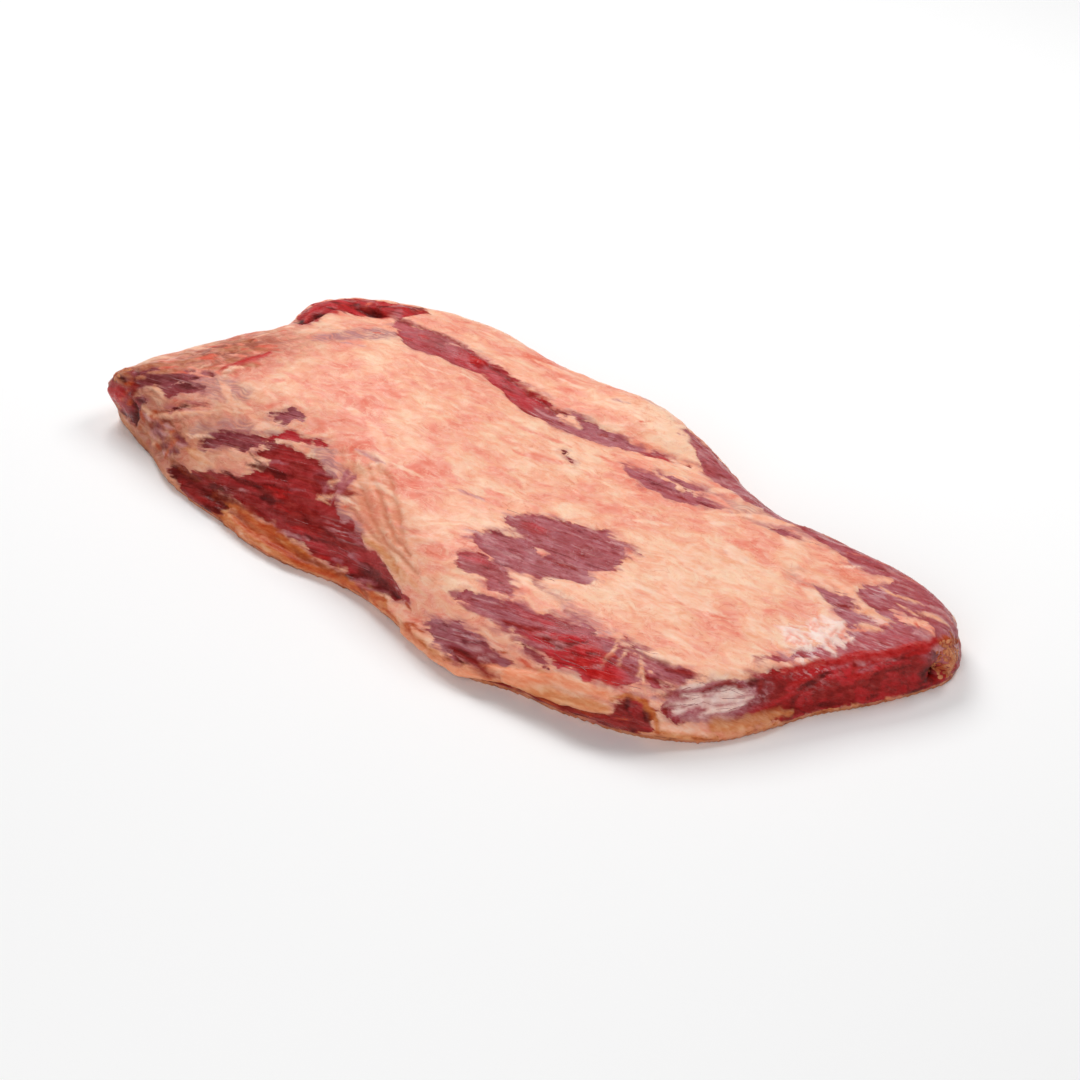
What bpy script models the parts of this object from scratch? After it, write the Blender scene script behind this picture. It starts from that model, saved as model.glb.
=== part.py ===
"""A whole raw beef brisket, the packer cut, lying on its fat cap with the rib side up.

It is one solid. Rings of stations follow its outline: they start folded on a spine under the
meat, run out over the flat fat cap, turn up round the cap's lip, climb the side, round over
the shoulder and close in on the same spine along the top. The top's height comes from a crown
that falls from the thick point to the thin flat, with swells and seams laid on it.

+X points along the meat to the cut end of the flat, -Y to the side with the rolled edge, +Z
up. The origin is on the table, under the middle of the piece.
"""

import math

import bmesh
import bpy
import numpy as np

MM = 0.001

# The rounded edge of the fat, in millimetres.
FLOOR_INSET = 13.0
FOOT_HEIGHT = 1.3
FOOT_UNDERCUT = 0.5  # of the nose's height, how far the foot is set back under it
CREST_RISE, CREASE_RISE = 3.8, 5.5  # above the nose
LEAST_CREST, LEAST_CREASE = 0.4, 0.9  # insets where the lip doesn't stick out at all
CREST_SHARE = 0.25  # of the lip's width, how far in its crest lies

# Landmarks round the outline, anticlockwise from the middle of the point's end, in
# millimetres: x, y, how far the lip sticks out past the meat above it, how high its nose is,
# how far in from the lip the side reaches the crown, how square that shoulder is, and how far
# it bulges out.
LANDMARKS = (
    (-260, -30, 2, 5, 34, 2.0, 0),  # end of the point
    (-272, -58, 1, 5, 28, 2.2, 3),
    (-272, -89, 1, 5, 20, 2.8, 9),  # tip of the point, which curls out over its foot
    (-252, -98, 3, 5, 26, 2.2, 4),
    (-222, -104, 5, 5, 40, 1.8, 0),
    (-186, -113, 6, 5, 52, 1.7, 0),  # near flank of the point, a long slope of bare lean
    (-154, -117, 8, 5, 60, 1.6, 0),
    (-124, -118, 11, 5, 62, 1.6, 0),
    (-96, -121, 13, 5, 60, 1.6, 0),
    (-64, -118, 11, 5, 54, 1.7, 0),
    (-34, -111, 7, 6, 44, 1.8, 0),
    (0, -111, 6, 9, 36, 1.8, 0),  # waist, where the lip rises into a roll of fat
    (42, -119, 8, 12, 36, 1.8, 0),
    (84, -122, 9, 12, 36, 1.8, 0),
    (116, -112, 8, 13, 34, 1.9, 0),
    (154, -106, 7, 16, 30, 2.0, 0),
    (184, -98, 6, 20, 24, 2.2, 0),  # near corner of the flat
    (205, -83, 5, 13, 18, 2.6, 0),
    (224, -60, 7, 5, 14, 3.2, 0),  # cut end of the flat
    (237, -30, 5, 5, 13, 3.4, 0),
    (245, -4, 1, 5, 13, 3.4, 0),
    (259, 22, 0, 5, 14, 3.2, 0),
    (272, 52, 0, 5, 15, 3.0, 0),
    (277, 78, 1, 5, 17, 2.6, 0),  # far corner of the flat
    (262, 102, 2, 5, 22, 2.3, 0),
    (228, 115, 3, 5, 26, 2.0, 0),
    (184, 112, 3, 5, 28, 2.0, 0),
    (140, 107, 3, 5, 30, 2.0, 0),
    (104, 114, 4, 5, 32, 2.1, 0),
    (62, 126, 5, 5, 34, 2.2, 0),  # far strip of fat
    (14, 134, 5, 5, 36, 2.2, 0),
    (-34, 131, 5, 5, 36, 2.1, 0),
    (-84, 127, 4, 5, 36, 2.1, 0),
    (-128, 126, 3, 5, 34, 2.1, 0),
    (-164, 114, 3, 5, 32, 2.2, 0),
    (-196, 92, 2, 5, 28, 2.3, 0),
    (-222, 72, 1, 5, 22, 2.4, 3),  # lump of lean at the far corner of the point
    (-238, 48, 1, 5, 24, 2.3, 2),
    (-242, 24, 2, 5, 36, 2.0, 0),
    (-248, -4, 3, 5, 38, 1.9, 0),
)

# Height of the top's base at places along X, in millimetres.
CROWN_ALONG = (
    (-280, 42),
    (-230, 52),
    (-150, 63),
    (-60, 60),
    (40, 50),
    (150, 40),
    (280, 33),
)
# Mounds and hollows on the top: x, y, half length, half width, turn in degrees, height.
SWELLS = (
    (-104, 0, 100, 56, -6, 8),  # crown of the point
    (-204, 40, 24, 12, 30, 4),  # lump of lean at the far corner of the point
    (-258, -40, 36, 60, -12, -7),  # the end of the point droops
    (-80, 130, 170, 56, 0, -12),  # the top falls away along the far strip
    (16, 110, 60, 28, -6, 11),  # plump oval at the end of the far strip
    (150, -20, 110, 60, 0, 4),  # belly of the flat
    (-160, -84, 60, 24, -4, -6),  # bare flank of the point
)
# The seam between the far strip and the rest of the top, then its depth and half width.
SEAM = ((-190, 46), (-142, 47), (-105, 50), (-60, 53), (-17, 57), (26, 67), (64, 82), (92, 92))
SEAM_DEPTH, SEAM_HALF_WIDTH = 7.0, 9.0

SPINE = ((-206, -4), (-90, 8), (60, 4), (206, 16))

STATIONS = 144
WALL_RINGS = 10
TOP_RINGS = 12
FLOOR_RINGS = 3
CURVE_STEPS = 24
CREASE_ANGLE = math.radians(50)


def cubic(before, start, end, after, t):
    """Catmull-Rom cubic from start to end."""
    return 0.5 * (
        2 * start
        + (end - before) * t
        + (2 * before - 5 * start + 4 * end - after) * t**2
        + (3 * start - before - 3 * end + after) * t**3
    )


def curve_through(rows, count):
    """`count` rows evenly spaced along a smooth curve through all rows but the first and last."""
    rows = np.asarray(rows, float)
    fine = [
        cubic(*rows[i : i + 4], t)
        for i in range(len(rows) - 3)
        for t in np.arange(CURVE_STEPS) / CURVE_STEPS
    ]
    fine = np.array(fine + [rows[-2]])
    length = np.concatenate([[0], np.cumsum(np.hypot(*np.diff(fine[:, :2], axis=0).T))])
    wanted = np.linspace(0, length[-1], count)
    return np.stack([np.interp(wanted, length, column) for column in fine.T], axis=1)


def closed_curve(rows, count):
    return curve_through((rows[-1], *rows, rows[0], rows[1]), count + 1)[:-1]


def open_curve(rows, count):
    rows = np.asarray(rows, float)
    return curve_through((2 * rows[0] - rows[1], *rows, 2 * rows[-1] - rows[-2]), count)


def swell(x, y, centre_x, centre_y, half_length, half_width, turn, height):
    """A smooth mound, or a hollow where its height is negative."""
    angle = math.radians(turn)
    along = (x - centre_x) * math.cos(angle) + (y - centre_y) * math.sin(angle)
    across = (y - centre_y) * math.cos(angle) - (x - centre_x) * math.sin(angle)
    return height * np.exp(-((along / half_length) ** 2) - (across / half_width) ** 2)


def crown(x, y):
    """Height of the top at a place in plan, before the sides round it off."""
    places, base = open_curve(CROWN_ALONG, 60).T
    height = np.interp(x, places, base)
    for mound in SWELLS:
        height = height + swell(x, y, *mound)
    seam = open_curve(SEAM, 60)
    gap = np.hypot(x[:, None] - seam[:, 0], y[:, None] - seam[:, 1]).min(axis=1)
    return height - SEAM_DEPTH * np.exp(-((gap / SEAM_HALF_WIDTH) ** 2))


class Outline:
    """Stations round the meat, each aimed at its own place on the spine."""

    def __init__(self):
        rows = closed_curve(LANDMARKS, STATIONS)
        self.rim = rows[:, :2]
        self.lip, self.nose, self.reach, self.squareness, self.bulge = rows[:, 2:].T
        self.crease = LEAST_CREASE + self.lip
        half = STATIONS // 2
        spine = open_curve(SPINE, half + 1)
        self.inner = spine[np.r_[0 : half + 1, half - 1 : 0 : -1]]
        self.depth = np.hypot(*(self.inner - self.rim).T)

    def inset(self, amount):
        """Every station moved in by its own number of millimetres."""
        share = (amount / self.depth)[:, None]
        return self.rim + (self.inner - self.rim) * share

    def towards_spine(self, start, share):
        return start + (self.inner - start) * share


def ring(plan, height):
    return np.column_stack([plan, np.broadcast_to(height, len(plan))])


def floor_rings(outline):
    """The flat face it lies on, from the spine out."""
    foot = outline.inset(np.full(STATIONS, FLOOR_INSET))
    shares = np.linspace(1, 0, FLOOR_RINGS + 1)
    return [ring(outline.towards_spine(foot, share), 0) for share in shares]


def lip_rings(outline):
    """The rounded lip of fat and the crease behind it."""
    profile = (
        (FOOT_UNDERCUT * outline.nose, FOOT_HEIGHT),
        (np.zeros(STATIONS), outline.nose),
        (LEAST_CREST + CREST_SHARE * outline.lip, outline.nose + CREST_RISE),
        (outline.crease, outline.nose + CREASE_RISE),
    )
    return [ring(outline.inset(inset), height) for inset, height in profile]


def wall_rings(outline):
    """The side above the crease, a superellipse with a bulge on its shoulder."""
    base = outline.nose + CREASE_RISE
    power = 2 / outline.squareness
    rings = []
    for turn in np.linspace(0, math.pi / 2, WALL_RINGS + 1)[1:]:
        climbed = math.sin(turn) ** power
        bulge = outline.bulge * math.sin(2 * turn) * math.sin(turn)
        inwards = outline.reach * (1 - math.cos(turn) ** power)
        plan = outline.inset(outline.crease + inwards - bulge)
        rings.append(ring(plan, base + (crown(*plan.T) - base) * climbed))
    return rings


def top_rings(outline):
    """The crown, from the shoulder to the spine."""
    shoulder = outline.inset(outline.crease + outline.reach)
    plans = [outline.towards_spine(shoulder, share) for share in np.linspace(0, 1, TOP_RINGS + 1)[1:]]
    return [ring(plan, crown(*plan.T)) for plan in plans]


def centred(rings):
    """The rings moved in plan so that the middle of their box is over the origin."""
    points = np.vstack(rings)
    middle = (points.min(axis=0) + points.max(axis=0)) / 2
    return [points - (middle[0], middle[1], 0) for points in rings]


def solid_from(name, rings):
    """One closed mesh object, whose first and last rings lie folded on the spine."""
    half = STATIONS // 2
    made = bmesh.new()
    grid = []
    for level, points in enumerate(rings):
        if level in (0, len(rings) - 1):
            row = [made.verts.new(point * MM) for point in points[: half + 1]]
            grid.append(row + row[half - 1 : 0 : -1])
        else:
            grid.append([made.verts.new(point * MM) for point in points])
    for lower, upper in zip(grid, grid[1:]):
        for i in range(STATIONS):
            j = (i + 1) % STATIONS
            made.faces.new((lower[i], lower[j], upper[j], upper[i]))
    bmesh.ops.recalc_face_normals(made, faces=made.faces)
    mesh = bpy.data.meshes.new(name)
    made.to_mesh(mesh)
    made.free()
    mesh.shade_smooth()
    mesh.set_sharp_from_angle(angle=CREASE_ANGLE)
    body = bpy.data.objects.new(name, mesh)
    bpy.context.scene.collection.objects.link(body)
    return body


def raw_meat():
    material = bpy.data.materials.new("raw_meat")
    material.use_nodes = True
    shader = material.node_tree.nodes["Principled BSDF"]
    shader.inputs["Base Color"].default_value = (0.78, 0.42, 0.32, 1)
    shader.inputs["Roughness"].default_value = 0.4
    shader.inputs["Metallic"].default_value = 0
    return material


def main():
    for old in list(bpy.data.objects):
        bpy.data.objects.remove(old)
    outline = Outline()
    rings = floor_rings(outline) + lip_rings(outline) + wall_rings(outline) + top_rings(outline)
    brisket = solid_from("brisket", centred(rings))
    brisket.data.materials.append(raw_meat())


main()
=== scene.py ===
# %% [markdown]
# # A whole raw beef brisket
#
# The piece of meat lies on its fat cap with the rib side up. It is two muscles grown together: the
# thick, tapered *point* at one end and the long, thin *flat*, which ends in a cut face. White fat
# covers nearly all of it. Where the butcher's knife took the fat away, lean meat shows as purple or
# red *windows* under a thin skin called silverskin.
#
# Everything below grows from the fixed frame. The frame's solid gives the size and the broad form,
# and this script gives the flesh: a fine skin of small faces, marks on it that say which tissue lies
# where, a sculpting step that follows those marks, and one material for each kind of piece.

import itertools
import math

import bmesh
import bpy
import numpy as np
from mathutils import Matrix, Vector, kdtree


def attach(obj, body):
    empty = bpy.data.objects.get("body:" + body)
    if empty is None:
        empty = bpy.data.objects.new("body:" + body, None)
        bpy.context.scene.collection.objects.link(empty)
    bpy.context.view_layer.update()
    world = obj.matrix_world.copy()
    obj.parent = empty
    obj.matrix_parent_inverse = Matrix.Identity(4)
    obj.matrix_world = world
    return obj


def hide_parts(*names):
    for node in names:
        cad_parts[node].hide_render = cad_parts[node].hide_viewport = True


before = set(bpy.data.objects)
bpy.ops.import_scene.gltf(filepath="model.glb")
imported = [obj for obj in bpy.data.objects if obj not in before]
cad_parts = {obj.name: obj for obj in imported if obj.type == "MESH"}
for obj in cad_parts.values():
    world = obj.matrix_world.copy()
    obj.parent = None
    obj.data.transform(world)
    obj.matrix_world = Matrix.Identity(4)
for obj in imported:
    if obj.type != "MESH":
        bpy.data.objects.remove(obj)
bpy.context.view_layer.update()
MM = 0.001

# %% [markdown]
# ## Table, light and camera
#
# Raw meat is wet, so most of what tells the eye "meat" is in the highlights. A large soft lamp
# stands high on the left and throws the shadow to the lower right, as a window would. A second,
# smaller one stands behind the cut end, where its reflection slides along the wet edge. The world
# fills the shadows, because fat is pale and never looks black beside them.


# %% A pale table
def pale_table(half=4.0):
    """A wide flat floor; it is stage, so it isn't part of the object."""
    mesh = bpy.data.meshes.new("table")
    corners = [(-half, -half, 0.0), (half, -half, 0.0), (half, half, 0.0), (-half, half, 0.0)]
    mesh.from_pydata(corners, [], [(0, 1, 2, 3)])
    table = bpy.data.objects.new("table", mesh)
    bpy.context.collection.objects.link(table)
    finish = bpy.data.materials.new("pale_table")
    finish.use_nodes = True
    shader = finish.node_tree.nodes["Principled BSDF"]
    shader.inputs["Base Color"].default_value = (0.95, 0.95, 0.95, 1.0)
    shader.inputs["Roughness"].default_value = 0.9
    shader.inputs["Specular IOR Level"].default_value = 0.1
    mesh.materials.append(finish)


# %% Soft light
def soft_world(strength):
    """An even white sky."""
    world = bpy.data.worlds.new("studio")
    bpy.context.scene.world = world
    world.use_nodes = True
    sky = world.node_tree.nodes["Background"]
    sky.inputs["Color"].default_value = (1.0, 1.0, 1.0, 1.0)
    sky.inputs["Strength"].default_value = strength


def aim(thing, azimuth, elevation, distance, target=(0.0, 0.0, 0.0)):
    """Puts a lamp or camera round the target; azimuth 0 is in front of it, 90 at the cut end."""
    turn, rise = math.radians(azimuth), math.radians(elevation)
    away = Vector((math.sin(turn) * math.cos(rise), -math.cos(turn) * math.cos(rise), math.sin(rise)))
    thing.location = Vector(target) + away * distance
    thing.rotation_euler = away.to_track_quat("Z", "Y").to_euler()
    bpy.context.collection.objects.link(thing)


def soft_lamp(name, azimuth, elevation, distance, size, power):
    """A square lamp aimed at the meat."""
    data = bpy.data.lights.new(name, "AREA")
    data.shape = "SQUARE"
    data.size = size
    data.energy = power
    aim(bpy.data.objects.new(name, data), azimuth, elevation, distance)


def camera_at(azimuth, elevation, distance, target, width):
    """A camera whose picture is `width` metres wide at the target."""
    data = bpy.data.cameras.new("camera")
    data.sensor_width = 36.0
    data.lens = data.sensor_width * distance / width
    data.clip_end = 30.0
    camera = bpy.data.objects.new("camera", data)
    aim(camera, azimuth, elevation, distance, target)
    bpy.context.scene.camera = camera


pale_table()
soft_world(strength=0.22)
soft_lamp("window_light", azimuth=-112, elevation=52, distance=1.8, size=0.9, power=18.4)
soft_lamp("edge_light", azimuth=158, elevation=55, distance=1.5, size=0.6, power=7)
soft_lamp("front_fill", azimuth=32, elevation=30, distance=1.8, size=1.2, power=12.5)
camera_at(azimuth=46, elevation=34, distance=1.5, target=(0.048, -0.027, 0.030), width=0.620)
bpy.context.scene.view_settings.view_transform = "Standard"

# %% [markdown]
# ## From the frame's solid to a fine skin
#
# The frame's solid is faceted, with faces of about a centimetre. Real fat has folds of a few
# millimetres, so the skin needs smaller faces. A *voxel remesh* turns any closed shape into even
# small squares, which is the best ground for sculpting: no seams, no stretched faces. The solid is
# subdivided first, so that its facets don't show. The underside lies on the table, so it can do
# with fewer faces, and a Decimate modifier that is held to one vertex group thins only that part.

# %% The skin of the meat
SKIN_STEP = 1.75 * MM
UNDERSIDE_KEPT = 0.16
FLAT_ENOUGH = math.radians(40)  # facets closer than this are joined


def applied(thing):
    """The mesh that an object's modifiers make, as a plain mesh."""
    graph = bpy.context.evaluated_depsgraph_get()
    return bpy.data.meshes.new_from_object(thing.evaluated_get(graph))


def fine_skin(node, name):
    """A closed, evenly faced copy of a frame solid."""
    form = bmesh.new()
    form.from_mesh(node.data)
    bmesh.ops.remove_doubles(form, verts=form.verts, dist=0.02 * MM)
    bmesh.ops.join_triangles(
        form, faces=form.faces,
        angle_face_threshold=FLAT_ENOUGH, angle_shape_threshold=FLAT_ENOUGH * 2)
    start = bpy.data.meshes.new(name)
    form.to_mesh(start)
    form.free()
    skin = bpy.data.objects.new(name, start)
    bpy.context.collection.objects.link(skin)
    smooth = skin.modifiers.new("smooth", "SUBSURF")
    smooth.levels = smooth.render_levels = 2
    voxels = skin.modifiers.new("voxels", "REMESH")
    voxels.mode = "VOXEL"
    voxels.voxel_size = SKIN_STEP
    skin.data = applied(skin)
    skin.modifiers.clear()
    return skin


def thin_underside(skin):
    """Fewer faces where the meat lies on the table."""
    group = skin.vertex_groups.new(name="underside")
    under = [v.index for v in skin.data.vertices if v.normal.z < -0.9 and v.co.z < 2 * MM]
    group.add(under, 1.0, "REPLACE")
    share = len(under) / len(skin.data.vertices)
    fewer = skin.modifiers.new("fewer", "DECIMATE")
    fewer.ratio = 1.0 - share * (1.0 - UNDERSIDE_KEPT)
    fewer.vertex_group = "underside"
    skin.data = applied(skin)
    skin.modifiers.clear()
    skin.vertex_groups.clear()


meat = fine_skin(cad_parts["brisket"], "brisket_meat")
thin_underside(meat)
print("skin:", len(meat.data.vertices), "points,", len(meat.data.polygons), "faces")

# %% [markdown]
# ## Numbers for every point of the skin
#
# From here on the skin is handled as arrays: one row for each point, in millimetres, because a
# butcher thinks in millimetres and the numbers stay readable. Three helpers do most of the work.
# `uneven` gives soft random lumps of a chosen size, `ease` turns a slope into a smooth step, and
# `smooth_path` rounds a few corner points into a flowing line.


# %% Points, normals and soft randomness
def rows_of(mesh, kind):
    """The mesh's points ('co') or normals ('normal') as rows of three numbers."""
    rows = np.empty(len(mesh.vertices) * 3)
    mesh.vertices.foreach_get(kind, rows)
    return rows.reshape(-1, 3)


def ease(values, start, stop):
    """0 before start, 1 after stop, and a smooth step between."""
    t = np.clip((values - start) / (stop - start), 0.0, 1.0)
    return t * t * (3.0 - 2.0 * t)


def uneven(points, size, seed, stretch=(1.0, 1.0, 1.0)):
    """Soft lumps of about `size` mm, from -1 to 1, the same on every run."""
    dice = np.random.default_rng(seed)
    shuffle = dice.permutation(256)
    slopes = dice.normal(size=(256, 3))
    slopes /= np.linalg.norm(slopes, axis=1, keepdims=True)
    spots = points / (size * np.array(stretch))
    cell = np.floor(spots).astype(int)
    inside = spots - cell
    fade = inside**3 * (inside * (inside * 6.0 - 15.0) + 10.0)
    total = np.zeros(len(points))
    for corner in itertools.product((0, 1), repeat=3):
        index = np.zeros(len(points), dtype=int)
        for axis in range(3):
            index = shuffle[(index + cell[:, axis] + corner[axis]) & 255]
        share = np.prod(np.where(corner, fade, 1.0 - fade), axis=1)
        total += share * np.sum(slopes[index] * (inside - corner), axis=1)
    return np.clip(total * 1.7, -1.0, 1.0)


def smooth_path(points, closed=False, pieces=5):
    """A flowing line through a few points (a Catmull-Rom curve)."""
    points = np.array(points, dtype=float)
    if closed:
        fenced = np.vstack([points[-1], points, points[:2]])
    else:
        fenced = np.vstack([2 * points[0] - points[1], points, 2 * points[-1] - points[-2]])
    made = []
    for a, b, c, d in zip(fenced, fenced[1:], fenced[2:], fenced[3:]):
        for t in np.arange(pieces) / pieces:
            made.append(0.5 * (2 * b + (c - a) * t + (2 * a - 5 * b + 4 * c - d) * t**2
                               + (3 * b - a - 3 * c + d) * t**3))
    if not closed:
        made.append(points[-1])
    return np.array(made)


place = rows_of(meat.data, "co") / MM
facing = rows_of(meat.data, "normal")
height = place[:, 2]
on_table = facing[:, 2] < -0.8
print("points on the table:", int(on_table.sum()))

# %% [markdown]
# ## Where the muscle fibres run
#
# Lean is a bundle of fibres, and every tear in the fat and every silver streak follows them. In this
# piece they run along the flat, a little towards the back. `along` and `across` are the two
# directions; height counts as a part of `across`, so that the pattern runs down the front side
# without stretching. The same three sums are used again in the materials.

# %% Grain directions
GRAIN_TURN = math.radians(18)
ALONG = np.array([math.cos(GRAIN_TURN), math.sin(GRAIN_TURN), math.sin(GRAIN_TURN)])
ACROSS = np.array([-math.sin(GRAIN_TURN), math.cos(GRAIN_TURN), math.cos(GRAIN_TURN)])
THROUGH = np.array([0.0, -0.7, 0.7])
grain = np.stack([place @ ALONG, place @ ACROSS, place @ THROUGH], axis=1)

# %% [markdown]
# ## Marking tissue on the skin
#
# Every patch on the meat has the same simple description as a leaf: a midrib that lies on the
# skin, and a half width that swells and tapers along it. A few points are enough, because flesh has
# no drawn outlines: soft random pushes make the edge wander. The leaf becomes a distance in
# millimetres, positive inside and zero on the edge. That is worth more than a plain yes or no, since
# the sculpting can make a rim from it and the material can fray its edge.

# %% Leaves
FAR = -14.0  # stands for every distance farther outside a leaf than this, in mm
FIBRES = np.array([math.cos(GRAIN_TURN), math.sin(GRAIN_TURN), 0.0])


def roaming(size, reach, seed):
    """A soft random push for every point, so that no edge stays smooth."""
    return reach * np.stack([uneven(place, size, seed=seed + n) for n in range(3)], axis=1)


def finder(points, indices):
    """Finds the nearest of some points."""
    tree = kdtree.KDTree(len(indices))
    for i in indices:
        tree.insert(points[i], int(i))
    tree.balance()
    return tree


roved = place + roaming(15.0, 3.0, 20) + roaming(6.0, 1.5, 30)
crown_tree = finder(place * (1.0, 1.0, 0.0), np.flatnonzero(facing[:, 2] > 0.1))
skin_tree = finder(place, range(len(place)))


def on_skin(point):
    """A point given as (x, y) gets the height of the skin there."""
    if len(point) == 3:
        return tuple(point)
    index = crown_tree.find((point[0], point[1], 0.0))[1]
    return (point[0], point[1], place[index, 2])


def leaf(path, halves, wander=1.0):
    """Distance in mm inside a leaf, and how square its edge is to the fibres."""
    path = np.asarray(path)
    halves = np.interp(np.linspace(0, 1, len(path)), np.linspace(0, 1, len(halves)), halves)
    margin = halves.max() - FAR
    low, high = path.min(0) - margin, path.max(0) + margin
    chosen = np.flatnonzero(np.all((place > low) & (place < high), axis=1) & ~on_table)
    spots = place[chosen] + wander * (roved[chosen] - place[chosen])
    best = np.full(len(spots), FAR)
    pull = np.tile(FIBRES, (len(spots), 1))
    for a, b, ra, rb in zip(path, path[1:], halves, halves[1:]):
        step = b - a
        t = np.clip((spots - a) @ step / max(step @ step, 1e-9), 0.0, 1.0)
        gap = spots - a - t[:, None] * step
        depth = ra + (rb - ra) * t - np.linalg.norm(gap, axis=1)
        closer = depth > best
        best[closer] = depth[closer]
        pull[closer] = gap[closer]
    distance = np.full(len(place), FAR)
    distance[chosen] = best
    square = np.zeros(len(place))
    square[chosen] = np.abs(pull @ FIBRES) / np.maximum(np.linalg.norm(pull, axis=1), 1e-6)
    return distance, square


def midrib(points):
    """A flowing line through a few points, laid on the skin."""
    path = smooth_path([on_skin(p) for p in points])
    return np.array([skin_tree.find(p)[0] for p in path])


def dab(x, y, length, width, turn=0.0, z=None):
    """A soft oval spot, 1 in the middle: half length and half width in mm, turned in degrees."""
    middle = np.array(on_skin((x, y) if z is None else (x, y, z)))
    angle = math.radians(turn)
    gap = place - middle
    u = gap[:, 0] * math.cos(angle) + gap[:, 1] * math.sin(angle)
    v = -gap[:, 0] * math.sin(angle) + gap[:, 1] * math.cos(angle)
    tall = max(length, width) if z is None else max(width, 6.0)
    far = (u / length) ** 2 + (v / width) ** 2 + (gap[:, 2] / tall) ** 2
    return np.exp(-1.4 * far)
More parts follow.
